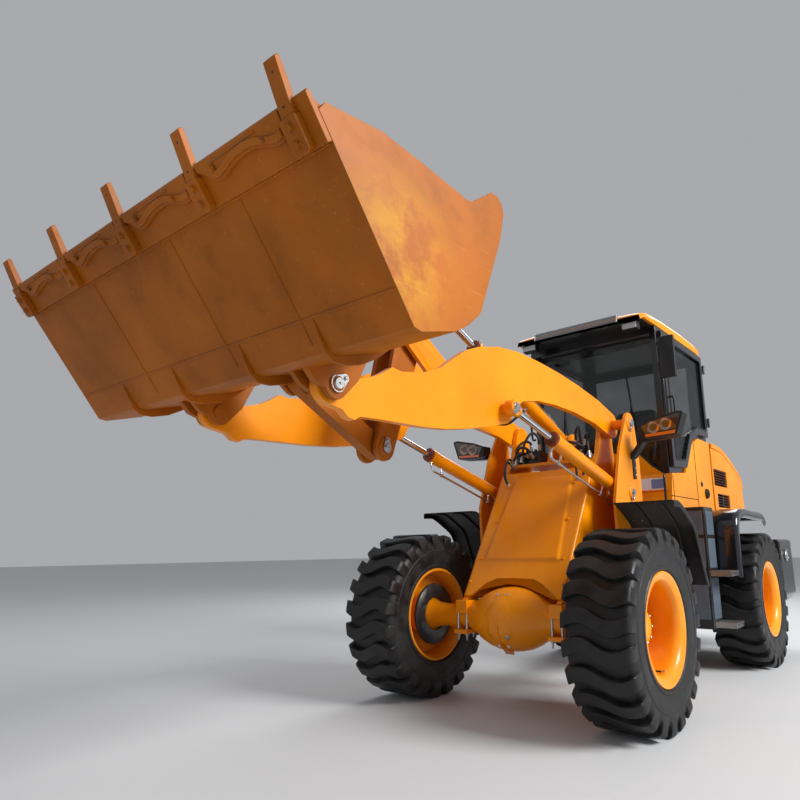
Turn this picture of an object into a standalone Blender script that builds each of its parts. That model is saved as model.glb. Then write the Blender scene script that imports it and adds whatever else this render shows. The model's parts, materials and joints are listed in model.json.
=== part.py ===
"""Compact articulated wheel loader, modelled as separate pieces on their joint axes.

Units are metres. +X is forward, +Y is the machine's left, +Z is up, and the origin is on the
ground under the middle of the machine. Inside this file x is measured from the front axle:
the MACHINE empty carries every piece and moves them all to the part's own origin.
Pieces that touch keep a gap of FIT between them.
"""

from math import atan2, cos, degrees, hypot, pi, radians, sin

import bmesh
import bpy
from mathutils import Matrix, Vector

# Driving dimensions.
FIT = 0.0003
WHEELBASE = 2.691
TRACK = 1.711
TYRE_RADIUS = 0.585
TYRE_WIDTH = 0.410
WHEEL_SIDES = 24
BUCKET_WIDTH = 2.288
BUCKET_FLOOR_ANGLE = 52.7
REAR_END_X = -4.120

# Pivot points in the side view, (x, z).
BOOM_PIVOT = (-0.800, 1.985)
BUCKET_PIVOT = (2.105, 1.745)
ROCKER_PIVOT = (1.168, 2.275)
ROCKER_TOP = (1.080, 2.700)
ROCKER_LOW = (1.370, 1.600)
LINK_FRONT = (1.900, 1.880)
LIFT_BASE = (-0.750, 1.455)
LIFT_EYE = (0.750, 1.860)
TILT_BASE = (-0.860, 1.900)
BUCKET_HEEL = (2.360, 1.790)
HOOD_HINGE = (-2.700, 2.012)

# Pivot points in the plan, (x, y).
ARTICULATION = (-WHEELBASE / 2, 0.0)
STEER_FRONT = (-0.880, 0.270)
STEER_REAR = (-1.900, 0.370)
STEER_HEIGHT = 0.800
DOOR_HINGE = (-2.605, 0.668)

# Distances across the machine, all measured from its middle plane.
FRAME_PLATE = (0.360, 0.395)
BOOM_PLATE = (0.405, 0.450)
LIFT_LINE = 0.509
TOWER_PLATE = (0.568, 0.592)
CAB_HALF_WIDTH = 0.640
HOOD_HALF_WIDTH = 0.650

# The machine's middle lies halfway between the tooth tips and the counterweight's back.
TOOTH_TIP = (0.887, -0.006)


def rotated(point, angle):
    """Turn a plane point about the origin by an angle in degrees."""
    turn = radians(angle)
    return (point[0] * cos(turn) - point[1] * sin(turn), point[0] * sin(turn) + point[1] * cos(turn))


def bucket_point(point):
    """Take a point from the bucket's own side view, floor level and heel at 0, to the machine."""
    x, z = rotated(point, BUCKET_FLOOR_ANGLE)
    return (BUCKET_HEEL[0] + x, BUCKET_HEEL[1] + z)


FRONT_END_X = bucket_point(TOOTH_TIP)[0]
FRONT_AXLE_X = -(FRONT_END_X + REAR_END_X) / 2

# Finishes: colour, roughness, metallic.
FINISHES = {
    "amber_paint": ((0.90, 0.36, 0.01, 1.0), 0.35, 0.0),
    "orange_paint": ((0.75, 0.22, 0.01, 1.0), 0.40, 0.0),
    "black_paint": ((0.012, 0.013, 0.016, 1.0), 0.30, 0.0),
    "black_plastic": ((0.02, 0.02, 0.02, 1.0), 0.55, 0.0),
    "tyre_rubber": ((0.02, 0.02, 0.02, 1.0), 0.80, 0.0),
    "chrome_rod": ((0.80, 0.80, 0.82, 1.0), 0.10, 1.0),
    "cast_iron": ((0.10, 0.10, 0.10, 1.0), 0.60, 1.0),
    "tinted_glass": ((0.05, 0.07, 0.06, 0.4), 0.05, 0.0),
    "seat_vinyl": ((0.03, 0.03, 0.03, 1.0), 0.60, 0.0),
}


def clear_scene():
    """Remove every object that the file opened with."""
    for item in list(bpy.data.objects):
        bpy.data.objects.remove(item)


def finish_material(name):
    """Return the Principled material of a finish, made once."""
    material = bpy.data.materials.get(name)
    if material is None:
        colour, roughness, metallic = FINISHES[name]
        material = bpy.data.materials.new(name)
        material.use_nodes = True
        shader = material.node_tree.nodes["Principled BSDF"]
        shader.inputs["Base Color"].default_value = colour
        shader.inputs["Roughness"].default_value = roughness
        shader.inputs["Metallic"].default_value = metallic
    return material


def pivot(name, point, parent=None):
    """Add an empty on a joint's axis."""
    empty = bpy.data.objects.new(name, None)
    bpy.context.scene.collection.objects.link(empty)
    empty.location = point
    if parent is not None:
        empty.parent = parent
        empty.matrix_parent_inverse = Matrix.Translation(parent.location).inverted()
    return empty


def solid(bm):
    """Turn a bmesh into a linked object with its faces pointing out."""
    bmesh.ops.recalc_face_normals(bm, faces=bm.faces)
    mesh = bpy.data.meshes.new("solid")
    bm.to_mesh(mesh)
    bm.free()
    item = bpy.data.objects.new("solid", mesh)
    bpy.context.scene.collection.objects.link(item)
    return item


PLANES = {
    "X": lambda a, b, c: Vector((c, a, b)),
    "Y": lambda a, b, c: Vector((a, c, b)),
    "Z": lambda a, b, c: Vector((a, b, c)),
}


def plate(outline, axis, low, high):
    """Extrude a closed outline along an axis, from low to high."""
    to_space = PLANES[axis]
    bm = bmesh.new()
    near = [bm.verts.new(to_space(a, b, min(low, high))) for a, b in outline]
    far = [bm.verts.new(to_space(a, b, max(low, high))) for a, b in outline]
    bm.faces.new(near)
    bm.faces.new(far)
    count = len(outline)
    for i in range(count):
        j = (i + 1) % count
        bm.faces.new((near[i], near[j], far[j], far[i]))
    return solid(bm)


def box(low, high):
    """A block between two corners."""
    outline = [(low[0], low[1]), (high[0], low[1]), (high[0], high[1]), (low[0], high[1])]
    return plate(outline, "Z", low[2], high[2])


def turned(profile, start, direction, sides, ring=False):
    """Turn a profile of (radius, distance) about a line; a ring's profile closes on itself.

    Point (r, t) goes to start + t * direction + r * (cos a * side + sin a * up), with the
    angles set half a step off, so that a flat and not a corner faces along the side vector.
    """
    axis = Vector(direction).normalized()
    side = axis.cross(Vector((0, 0, 1)))
    if side.length < 0.1:
        side = Vector((1, 0, 0))
    side.normalize()
    up = side.cross(axis)
    bm = bmesh.new()
    rows = []
    for radius, distance in profile:
        centre = Vector(start) + axis * distance
        if radius == 0:
            rows.append([bm.verts.new(centre)] * sides)
            continue
        angles = [2 * pi * (k + 0.5) / sides for k in range(sides)]
        rows.append([bm.verts.new(centre + radius * (cos(a) * side + sin(a) * up)) for a in angles])
    pairs = list(zip(rows, rows[1:]))
    if ring:
        pairs.append((rows[-1], rows[0]))
    for first, second in pairs:
        for k in range(sides):
            n = (k + 1) % sides
            corners = dict.fromkeys((first[k], first[n], second[n], second[k]))
            if len(corners) > 2:
                bm.faces.new(tuple(corners))
    if not ring and profile[0][0] > 0:
        bm.faces.new(rows[0])
    if not ring and profile[-1][0] > 0:
        bm.faces.new(rows[-1])
    return solid(bm)


def rod(start, end, radius, sides=12):
    """A round bar between two points."""
    line = Vector(end) - Vector(start)
    return turned([(radius, 0), (radius, line.length)], start, line, sides)


def pin(point, low, high, radius, sides=12):
    """A round bar across the machine at a side-view point."""
    return rod((point[0], low, point[1]), (point[0], high, point[1]), radius, sides)


def arc(centre, radius, start, end, steps):
    """Points on a circle from one angle to another, in degrees."""
    angles = [radians(start + (end - start) * k / steps) for k in range(steps + 1)]
    return [(centre[0] + radius * cos(a), centre[1] + radius * sin(a)) for a in angles]


def strap(first, second, first_radius, second_radius, steps=6):
    """The outline of a bar with round ends of two sizes."""
    heading = degrees(atan2(second[1] - first[1], second[0] - first[0]))
    return (arc(second, second_radius, heading - 90, heading + 90, steps)
            + arc(first, first_radius, heading + 90, heading + 270, steps))


def combined(base, others, operation):
    """Join or cut a solid with others, and leave one plain mesh."""
    for other in others:
        modifier = base.modifiers.new(operation, "BOOLEAN")
        modifier.operation = operation
        modifier.solver = "EXACT"
        modifier.object = other
    graph = bpy.context.evaluated_depsgraph_get()
    mesh = bpy.data.meshes.new_from_object(base.evaluated_get(graph))
    base.modifiers.clear()
    base.data = mesh
    for other in others:
        bpy.data.objects.remove(other)
    return base


def joined(*parts):
    """One body out of solids that run into each other."""
    return combined(parts[0], parts[1:], "UNION")


def cut(base, *cutters):
    """A solid with others taken out of it."""
    return combined(base, cutters, "DIFFERENCE")


def node(item, name, finish, parent):
    """Name a finished piece, give it its material and hang it on its pivot."""
    item.name = name
    item.data.name = name
    item.data.materials.clear()
    item.data.materials.append(finish_material(finish))
    item.data.shade_smooth()
    item.data.set_sharp_from_angle(angle=radians(35))
    item.parent = parent
    item.matrix_parent_inverse = Matrix.Translation(parent.location).inverted()


def both_sides(build):
    """Run a builder for the left side, +1, and for the right side, -1."""
    for name, side in (("left", 1), ("right", -1)):
        build(name, side)


EYE_WIDTH = 0.090
TUNNEL_START = 0.080
ROD_START = 0.400


def cylinder_pieces(base, eye, gland, across, radii):
    """A barrel and a rod along one line; base and eye are (x, z) and across gives y.

    The barrel has a bored eye at its base, and the rod a plain eye. The rod starts far enough
    up the barrel to slide all the way in, and the barrel's tunnel starts ahead of it.
    """
    barrel_radius, rod_radius, base_bore = radii
    gland_radius = barrel_radius * 1.1
    half_eye = EYE_WIDTH / 2
    line = Vector((eye[0] - base[0], 0, eye[1] - base[1]))
    length = line.length
    line.normalize()
    start = Vector((base[0], across, base[1]))
    reach = gland * length
    tube = turned([(barrel_radius, 0.045), (barrel_radius, reach - 0.05), (gland_radius, reach - 0.05),
                   (gland_radius, reach)], start, line, 16)
    barrel = joined(tube, pin(base, across - half_eye, across + half_eye, barrel_radius * 1.15, 16))
    bore = pin(base, across - EYE_WIDTH, across + EYE_WIDTH, base_bore)
    tunnel = turned([(rod_radius + 0.001, TUNNEL_START), (rod_radius + 0.001, reach + 0.1)], start, line, 12)
    stroke = turned([(rod_radius, ROD_START), (rod_radius, length - 0.03)], start, line, 12)
    eye_ring = pin(eye, across - half_eye, across + half_eye, rod_radius * 2.6, 16)
    return cut(cut(barrel, bore), tunnel), joined(stroke, eye_ring)


# ---------------------------------------------------------------- wheels

def tyre_solid(centre):
    """A tyre as a ring with a flat facet down, so the machine stands on its true radius."""
    outer = TYRE_RADIUS / cos(pi / WHEEL_SIDES)
    half = TYRE_WIDTH / 2
    profile = [(0.3184, -0.1665), (0.3184, 0.1665), (0.350, half - 0.012), (0.520, half),
               (outer, half - 0.045), (outer, 0.045 - half), (0.520, -half), (0.350, 0.012 - half)]
    return turned(profile, centre, (0, 1, 0), WHEEL_SIDES, ring=True)


def rim_solid(centre, side):
    """A deep rim with its disc inboard and a hub cap that stands out of it."""
    profile = [(0, 0.070), (0.085, 0.070), (0.105, -0.004), (0.200, -0.004), (0.245, -0.030),
               (0.296, -0.030), (0.296, 0.150), (0.312, 0.191), (0.327, 0.191), (0.3178, 0.1672),
               (0.3178, -0.1672), (0.327, -0.191), (0.312, -0.191), (0.296, -0.046), (0.200, -0.020),
               (0, -0.020)]
    return turned(profile, centre, (0, side, 0), WHEEL_SIDES)


def build_wheels(front_parent, rear_parent):
    """Four wheels, each a tyre and a rim on its own axle point."""
    for end, x, parent in (("front", 0.0, front_parent), ("rear", -WHEELBASE, rear_parent)):
        for name, side in (("left", 1), ("right", -1)):
            centre = (x, side * TRACK / 2, TYRE_RADIUS)
            spin = pivot(f"pivot_wheel_{end}_{name}", centre, parent)
            node(tyre_solid(centre), f"tyre_{end}_{name}", "tyre_rubber", spin)
            node(rim_solid(centre, side), f"rim_{end}_{name}", "amber_paint", spin)


def axle_solid(x, nose):
    """A drive axle: housing, round bulge, brake drums at its ends and pads for the frame."""
    half = [(0.112, 0.829), (0.150, 0.815), (0.150, 0.720), (0.085, 0.660), (0.085, 0.300),
            (0.190, 0.150), (0.212, 0.070)]
    profile = [(r, -t) for r, t in half] + [(r, t) for r, t in reversed(half)]
    housing = turned(profile, (x, 0, TYRE_RADIUS), (0, 1, 0), 16)
    pads = [box((x - 0.11, side * 0.375 - 0.05, 0.60), (x + 0.11, side * 0.375 + 0.05, 0.70))
            for side in (1, -1)]
    snout = rod((x, 0, TYRE_RADIUS), (x + nose * 0.34, 0, TYRE_RADIUS + 0.02), 0.085)
    return joined(housing, snout, *pads)


# ---------------------------------------------------------------- front frame

def side_outline():
    """Side plate of the front frame: hinge end, belly, leaning front edge and tower."""
    x = BOOM_PIVOT[0]
    front_edge = [(0.060, 0.7003), (0.035, 0.720), (-0.535, 1.640)]
    tower = [(-0.640, 1.760)] + arc(BOOM_PIVOT, 0.085, 10, 170, 6)
    back = [(x - 0.130, 1.700), (-1.020, 1.300), (-1.020, 0.440), (-0.760, 0.440), (-0.400, 0.7003)]
    return front_edge + tower + back


def tower_outline():
    """Outer plate of the boom tower."""
    x = BOOM_PIVOT[0]
    head = arc(BOOM_PIVOT, 0.085, 0, 170, 6)
    return [(-0.470, 1.040), (-0.450, 1.380), (-0.590, 1.780)] + head + [(x - 0.140, 1.700), (-0.960, 1.040)]


def lug(length, radius, low, high, heading):
    """A rounded hinge plate that reaches from a cross plate to the articulation pin."""
    x, y = ARTICULATION
    base = (x + heading * length, y)
    outline = strap(base, ARTICULATION, 0.17, radius)
    return plate(outline, "Z", low, high)


def build_tower(name, side, parent):
    """One tower: its outer plate, the two webs that tie it to the side plate, and its pins."""
    inner, outer = FRAME_PLATE[1] + FIT, TOWER_PLATE[1]
    low, high = sorted((side * inner, side * (TOWER_PLATE[0] + 0.010)))
    upright = [(-0.975, 1.040), (-0.950, 1.040), (-0.922, 1.720), (-0.945, 1.720)]
    level = [(-0.960, 1.040), (-0.475, 1.040), (-0.475, 1.065), (-0.960, 1.065)]
    tower = joined(plate(tower_outline(), "Y", side * TOWER_PLATE[0], side * outer),
                   plate(upright, "Y", low, high), plate(level, "Y", low, high),
                   pin(BOOM_PIVOT, side * inner, side * (outer + 0.012), 0.038),
                   pin(LIFT_BASE, side * inner, side * (outer + 0.012), 0.030))
    node(tower, f"tower_{name}", "amber_paint", parent)


def build_front_frame(parent):
    """Front frame's side plates, deck, cross plates, steering brackets and hinge lugs."""
    inner, outer = FRAME_PLATE
    sides = [plate(side_outline(), "Y", side * inner, side * outer) for side in (1, -1)]
    span = inner + 0.01
    deck = box((-0.900, -span, 1.700), (-0.600, span, 1.725))
    belly = box((-0.380, -span, 0.7003), (-0.235, span, 0.730))
    back = box((-1.015, -span, 0.950), (-0.985, span, 1.600))
    keel = box((-1.015, -0.215, 0.445), (-0.985, 0.215, 1.250))
    ribs = [box((-1.000, side * 0.20 - 0.012, 0.445), (-0.420, side * 0.20 + 0.012, 0.760))
            for side in (1, -1)]
    step = box((-0.450, -span, 0.720), (-0.420, span, 0.950))
    lugs = [lug(0.345, 0.100, 1.100, 1.150, 1), lug(0.345, 0.100, 0.500, 0.550, 1)]
    mounts = [plate([(-0.930, 1.720), (-0.700, 1.720), (-0.800, 1.930), (-0.835, 1.965), (-0.885, 1.965),
                     (-0.925, 1.930)], "Y", side * 0.062, side * 0.087) for side in (1, -1)]
    steer = [plate(strap((-0.985, side * STEER_FRONT[1]), (STEER_FRONT[0], side * STEER_FRONT[1]), 0.05,
                         0.040), "Z", low, high)
             for side in (1, -1) for low, high in ((0.745, 0.765), (0.835, 0.855))]
    steer_beam = box((-1.000, -span, 0.735), (-0.970, span, 0.865))
    frame = joined(*sides, deck, belly, back, keel, step, steer_beam, *ribs, *lugs, *mounts, *steer)
    # A steering rod swings in its slot, and its eye stays clear of the two short pins around it.
    slots = [box((-1.050, side * 0.285 - 0.135, 0.766), (-0.935, side * 0.285 + 0.135, 0.834))
             for side in (1, -1)]
    x, y = ARTICULATION
    bore = rod((x, y, 0.40), (x, y, 1.30), 0.0440)
    frame = cut(frame, bore, *slots)
    pins = [pin(TILT_BASE, -0.10, 0.10, 0.030)]
    for side in (1, -1):
        front = (STEER_FRONT[0], side * STEER_FRONT[1])
        pins += [rod((*front, low), (*front, high), 0.016)
                 for low, high in ((0.735, 0.766), (0.834, 0.865))]
    node(joined(frame, *pins), "front_frame", "amber_paint", parent)

    top, bottom = Vector((-0.535, 0, 1.640)), Vector((0.035, 0, 0.720))
    slope = (bottom - top).normalized()
    normal = Vector((-slope.z, 0, slope.x))
    first = top + normal * FIT
    last = bottom + normal * FIT
    depth = normal * 0.014
    cover = [first, last, last + depth, first + depth]
    panel = plate([(p.x, p.z) for p in cover], "Y", -outer, outer)
    arch = [(-0.330, 0.600), (0.330, 0.600), (0.330, 0.700), (0.270, 0.790), (0.170, 0.850), (-0.170, 0.850),
            (-0.270, 0.790), (-0.330, 0.700)]
    node(cut(panel, plate(arch, "X", -0.300, 0.300)), "front_cover", "amber_paint", parent)


def build_front_fender(name, side, parent):
    """A bent sheet over the back of the front tyre, bolted to the tower."""
    top = [(-0.290, 1.353), (-0.430, 1.350), (-0.690, 1.205), (-0.800, 1.000), (-0.898, 0.790)]
    under = [(x + 0.022, z - 0.012) for x, z in reversed(top)]
    under[-1] = (-0.290, 1.339)
    item = plate(top + under, "Y", side * (TOWER_PLATE[1] + FIT), side * 1.050)
    node(item, f"front_fender_{name}", "black_plastic", parent)


def build_headlight(name, side, parent):
    """A wedge-shaped lamp on a bent bracket at the tower's back edge."""
    lamp = [(side * y, z) for y, z in ((0.695, 1.935), (0.985, 2.012), (1.030, 2.000), (0.975, 1.845),
                                       (0.735, 1.835))]
    body = plate(lamp, "X", -0.800, -0.690)
    foot = TOWER_PLATE[1] + FIT
    low, high = sorted((side * foot, side * (foot + 0.010)))
    base = box((-0.845, low, 1.560), (-0.800, high, 1.740))
    arm = [(side * y, z) for y, z in ((foot, 1.700), (foot, 1.740), (0.680, 1.850), (0.960, 1.860),
                                      (0.960, 1.840), (0.700, 1.826), (0.620, 1.720))]
    bracket = plate(arm, "X", -0.845, -0.760)
    node(joined(body, bracket, base), f"headlight_{name}", "black_plastic", parent)


# ---------------------------------------------------------------- boom and linkage

def arm_outline():
    """Side view of a boom arm: pivot end, bowed top, bucket end and the lift eye's corner."""
    rear = arc(BOOM_PIVOT, 0.100, 100, 275, 8)
    lower = [(-0.503, 1.957), (-0.188, 1.990), (0.099, 1.998), (0.337, 1.985), (0.533, 1.947), (0.640, 1.865)]
    eye = [(0.672, 1.806), (0.720, 1.780)]
    belly = [(0.932, 1.731), (1.123, 1.693), (1.298, 1.667), (1.490, 1.652), (1.814, 1.643), (1.927, 1.636),
             (1.956, 1.617), (1.998, 1.624), (2.034, 1.653)]
    nose = arc(BUCKET_PIVOT, 0.080, -80, 110, 8)
    top = [(1.930, 1.811), (1.841, 1.838), (1.782, 1.869), (1.714, 1.911), (1.651, 1.902), (1.487, 1.932),
           (1.341, 1.990), (1.219, 2.072), (1.108, 2.143), (0.991, 2.189), (0.784, 2.240), (0.559, 2.260),
           (0.314, 2.254), (0.048, 2.236), (-0.244, 2.202), (-0.564, 2.149)]
    return rear + lower + eye + belly + nose + top


CROSS_TUBE = (0.800, 2.030)


def build_boom(parent):
    """Two arms, and the cross tube with the rocker's brackets and pin."""
    inner, outer = BOOM_PLATE

    def arm(name, side):
        item = plate(arm_outline(), "Y", side * inner, side * outer)
        holes = [pin(BOOM_PIVOT, side * 0.35, side * 0.50, 0.0405),
                 pin(BUCKET_PIVOT, side * 0.35, side * 0.50, 0.0375)]
        node(cut(item, *holes), f"boom_arm_{name}", "amber_paint", parent)

    both_sides(arm)
    tube = pin(CROSS_TUBE, FIT - inner, inner - FIT, 0.085, 16)
    ears = [plate(strap(CROSS_TUBE, ROCKER_PIVOT, 0.105, 0.085), "Y", side * 0.092, side * 0.120)
            for side in (1, -1)]
    axle = pin(ROCKER_PIVOT, -0.132, 0.132, 0.030)
    node(joined(tube, axle, *ears), "boom_crossmember", "amber_paint", parent)


def build_rocker(parent):
    """Two cheeks on a hub; the low end carries the link's pin."""
    cheeks = []
    for side in (1, -1):
        low, high = sorted((side * 0.050, side * 0.078))
        cheeks.append(plate(strap(ROCKER_PIVOT, ROCKER_TOP, 0.105, 0.065, 8), "Y", low, high))
        cheeks.append(plate(strap(ROCKER_PIVOT, ROCKER_LOW, 0.104, 0.072, 8), "Y", low, high))
    hub = pin(ROCKER_PIVOT, -0.0865, 0.0865, 0.070, 16)
    axle = pin(ROCKER_LOW, -0.090, 0.090, 0.028)
    caps = [pin(ROCKER_TOP, side * 0.060, side * 0.090, 0.030) for side in (1, -1)]
    body = joined(hub, *cheeks)
    body = cut(body, pin(ROCKER_PIVOT, -0.12, 0.12, 0.0325))
    node(joined(body, axle, *caps), "rocker", "orange_paint", parent)


def build_link(parent):
    """The bar from the rocker's low end to the bucket; its front eye is the open pivot."""
    bar = plate(strap(ROCKER_LOW, LINK_FRONT, 0.060, 0.056), "Y", -0.036, 0.036)
    node(cut(bar, pin(ROCKER_LOW, -0.06, 0.06, 0.0305)), "bucket_link", "orange_paint", parent)


def build_bucket(parent):
    """Bucket shell with its hinge brackets, and the cutting edge with five teeth."""
    half = BUCKET_WIDTH / 2
    side_view = [(0.700, -0.008), (0.715, 0.035), (0.592, 0.256), (0.457, 0.413), (0.276, 0.612),
                 (0.262, 0.650), (0.262, 0.812), (0.236, 0.850), (0.197, 0.862), (0.160, 0.847),
                 (0.077, 0.745), (-0.108, 0.420), (-0.120, 0.394), (-0.126, 0.300), (-0.116, 0.207),
                 (-0.040, 0.020), (-0.010, -0.008)]
    hollow = [(1.100, 0.008), (0.000, 0.008), (-0.026, 0.028), (-0.101, 0.212), (-0.110, 0.300),
              (-0.104, 0.390), (-0.094, 0.414), (0.090, 0.737), (0.205, 0.880), (0.320, 1.000),
              (1.100, 1.000)]
    shell = plate([bucket_point(p) for p in side_view], "Y", -half, half)
    shell = cut(shell, plate([bucket_point(p) for p in hollow], "Y", 0.020 - half, half - 0.020))
    pin_place = rotated((BUCKET_PIVOT[0] - BUCKET_HEEL[0], BUCKET_PIVOT[1] - BUCKET_HEEL[1]),
                        -BUCKET_FLOOR_ANGLE)
    wall = [(-0.103, 0.412), (-0.112, 0.392), (-0.118, 0.300), (-0.109, 0.210), (-0.054, 0.070)]
    ear = (wall + [(-0.130, 0.080)] + arc(pin_place, 0.066, -75, -180, 6)
           + [(-0.238, 0.300), (-0.165, 0.455), (-0.092, 0.442)])
    ears = []
    for side in (1, -1):
        for low, high in ((0.372, 0.398), (0.457, 0.490)):
            ears.append(plate([bucket_point(p) for p in ear], "Y", side * low, side * high))
    link_place = rotated((LINK_FRONT[0] - BUCKET_HEEL[0], LINK_FRONT[1] - BUCKET_HEEL[1]),
                         -BUCKET_FLOOR_ANGLE)
    tongue = ([(-0.020, 0.560), (-0.102, 0.414), (-0.112, 0.392), (-0.116, 0.330)]
              + arc(link_place, 0.062, -100, -230, 7))
    tongues = [plate([bucket_point(p) for p in tongue], "Y", side * 0.048, side * 0.074) for side in (1, -1)]
    hubs = [pin(LINK_FRONT, side * 0.060, side * 0.086, 0.030) for side in (1, -1)]
    axles = [pin(BUCKET_PIVOT, side * 0.360, side * 0.502, 0.035) for side in (1, -1)]
    node(joined(shell, *ears, *tongues, *hubs, *axles), "bucket_shell", "orange_paint", parent)

    blade = [(0.604, -0.0333), (0.755, -0.0333), (0.764, -0.020), (0.752, -0.0083), (0.604, -0.0083)]
    edge = plate([bucket_point(p) for p in blade], "Y", -half, half)
    tooth = [(0.600, -0.030), (0.600, -0.056), (0.700, -0.064), (0.800, -0.048), TOOTH_TIP, (0.880, 0.004),
             (0.800, 0.004), (0.760, -0.010)]
    teeth = []
    for across in (-1.058, -0.529, 0.0, 0.529, 1.058):
        teeth.append(plate([bucket_point(p) for p in tooth], "Y", across - 0.030, across + 0.030))
    node(joined(edge, *teeth), "cutting_edge", "orange_paint", parent)


def build_lift_cylinder(name, side, pivots):
    """A lift cylinder beside its arm, from the tower to the arm's lower corner."""
    barrel, ram = cylinder_pieces(LIFT_BASE, LIFT_EYE, 0.699, side * LIFT_LINE, (0.049, 0.021, 0.0325))
    node(barrel, f"lift_barrel_{name}", "amber_paint", pivots[f"lift_barrel_{name}"])
    node(ram, f"lift_rod_{name}", "chrome_rod", pivots[f"lift_rod_{name}"])


def build_tilt_cylinder(pivots):
    """The tilt cylinder, from the front frame's top to the rocker's top."""
    barrel, ram = cylinder_pieces(TILT_BASE, ROCKER_TOP, 0.660, 0.0, (0.052, 0.024, 0.0325))
    node(barrel, "tilt_barrel", "amber_paint", pivots["tilt_barrel"])
    node(ram, "tilt_rod", "chrome_rod", pivots["tilt_rod"])


def build_steering_cylinder(name, side, pivots):
    """A steering cylinder between the two frames, beside the articulation."""
    rear = Vector((STEER_REAR[0], side * STEER_REAR[1], STEER_HEIGHT))
    front = Vector((STEER_FRONT[0], side * STEER_FRONT[1], STEER_HEIGHT))
    line = front - rear

    def upright(middle, half, radius):
        reach = Vector((0, 0, half))
        return rod(middle - reach, middle + reach, radius)

    barrel = joined(turned([(0.034, 0.030), (0.034, 0.540)], rear, line, 12), upright(rear, 0.030, 0.040))
    tunnel = turned([(0.0170, TUNNEL_START), (0.0170, 0.600)], rear, line, 12)
    barrel = cut(barrel, upright(rear, 0.050, 0.0185), tunnel)
    node(barrel, f"steer_barrel_{name}", "black_paint", pivots[f"steer_barrel_{name}"])
    ram = joined(turned([(0.016, 0.300), (0.016, line.length - 0.03)], rear, line, 12),
                 upright(front, 0.026, 0.034))
    node(ram, f"steer_rod_{name}", "chrome_rod", pivots[f"steer_rod_{name}"])


# ---------------------------------------------------------------- rear frame and body

RAIL_LINE = 0.350
RAIL_TOP = 1.100
CAB_FLOOR = 1.380
FRAME_BACK_X = -3.560


def build_rear_frame(parent):
    """Hinge box, clevis plates and pin, two rails, cross members and the posts of the cab."""
    rails = [box((FRAME_BACK_X + FIT, side * RAIL_LINE - 0.020, 0.7003),
                 (-1.960, side * RAIL_LINE + 0.020, RAIL_TOP)) for side in (1, -1)]
    span = RAIL_LINE - 0.01
    hinge_box = box((-2.000, -0.205, 0.440), (-1.600, 0.205, 1.220))
    front_beam = box((-2.010, -span - 0.03, 0.640), (-1.960, span + 0.03, 1.220))
    beams = [box((x - 0.025, -span, 0.760), (x + 0.025, span, 1.060)) for x in (-2.350, -3.520)]
    bearers = [box((x - 0.030, -0.620, 1.335), (x + 0.030, 0.620, CAB_FLOOR - FIT)) for x in (-2.600, -3.450)]
    posts = [box((x - 0.030, side * RAIL_LINE - 0.020, RAIL_TOP - 0.02),
                 (x + 0.030, side * RAIL_LINE + 0.020, 1.350))
             for side in (1, -1) for x in (-2.600, -3.450)]
    front_posts = [box((-1.985, side * 0.300 - 0.030, 1.150), (-1.965, side * 0.300 + 0.030, CAB_FLOOR - FIT))
                   for side in (1, -1)]
    x, y = ARTICULATION
    plates = [lug(0.300, 0.095, low, high, -1) for low, high in ((1.055, 1.090), (1.160, 1.195),
                                                                 (0.455, 0.490), (0.560, 0.595))]
    clevis_pin = [rod((x, y, low), (x, y, high), 0.040) for low, high in ((1.040, 1.210), (0.440, 0.610))]
    ears = [plate(strap((-1.985, side * STEER_REAR[1]), (STEER_REAR[0], side * STEER_REAR[1]), 0.05,
                        0.045), "Z", low, high)
            for side in (1, -1) for low, high in ((0.740, 0.760), (0.840, 0.860))]
    ear_pins = []
    for side in (1, -1):
        back = (STEER_REAR[0], side * STEER_REAR[1])
        ear_pins.append(rod((*back, 0.730), (*back, 0.870), 0.016))
    frame = joined(rails[0], rails[1], hinge_box, front_beam, *beams, *bearers, *posts, *front_posts, *plates,
                   *clevis_pin, *ears, *ear_pins)
    node(frame, "rear_frame", "black_paint", parent)


def build_counterweight(parent):
    """A cast block across the back, with its lower corners taken off."""
    outline = [(-0.985, 0.560), (-0.900, 0.480), (0.900, 0.480), (0.985, 0.560), (0.985, 1.100),
               (0.960, 1.120), (-0.960, 1.120), (-0.985, 1.100)]
    block = plate(outline, "X", REAR_END_X, FRAME_BACK_X)
    notch = box((FRAME_BACK_X - 0.20, -0.420, 1.000), (FRAME_BACK_X + 0.05, 0.420, 1.200))
    node(cut(block, notch), "counterweight", "black_paint", parent)


def build_engine(parent):
    """The engine as one plain block between the rails."""
    node(box((-3.400, -0.290, 0.860), (-2.720, 0.290, 1.620)), "engine", "cast_iron", parent)


CAB_FRONT_X = -1.460
CAB_BACK_X = -2.640
DASH_X = (-1.556, -1.521)
DASH_TOP = [(0.560, 1.665), (0.470, 1.730), (0.340, 1.870)]
SILL = [(-1.520, 1.660), (-1.875, 1.690), (-2.080, 1.963), (-2.300, 2.050), (CAB_BACK_X, 2.050)]


def build_cab_base(parent):
    """Painted lower cab: floor, front wall with its swept top, side walls and back wall."""
    wide = CAB_HALF_WIDTH
    outline = [(CAB_FRONT_X, CAB_FLOOR)] + SILL + [(CAB_BACK_X, CAB_FLOOR)]
    tub = plate(outline, "Y", -wide, wide)
    inside = box((CAB_BACK_X + 0.035, 0.035 - wide, CAB_FLOOR + 0.040), (DASH_X[0], wide - 0.035, 2.400))
    tub = cut(tub, inside)
    dash = [(-0.560, 1.600), (0.560, 1.600), *DASH_TOP] + [(-y, z) for y, z in reversed(DASH_TOP)]
    node(joined(tub, plate(dash, "X", *DASH_X)), "cab_base", "amber_paint", parent)


def cab_shell_outline():
    """Side view of the upper cab, set on the sill of the base."""
    lower = [(x, z + FIT) for x, z in SILL]
    return lower + [(CAB_BACK_X, 2.950), (-1.440, 2.950)]


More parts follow.
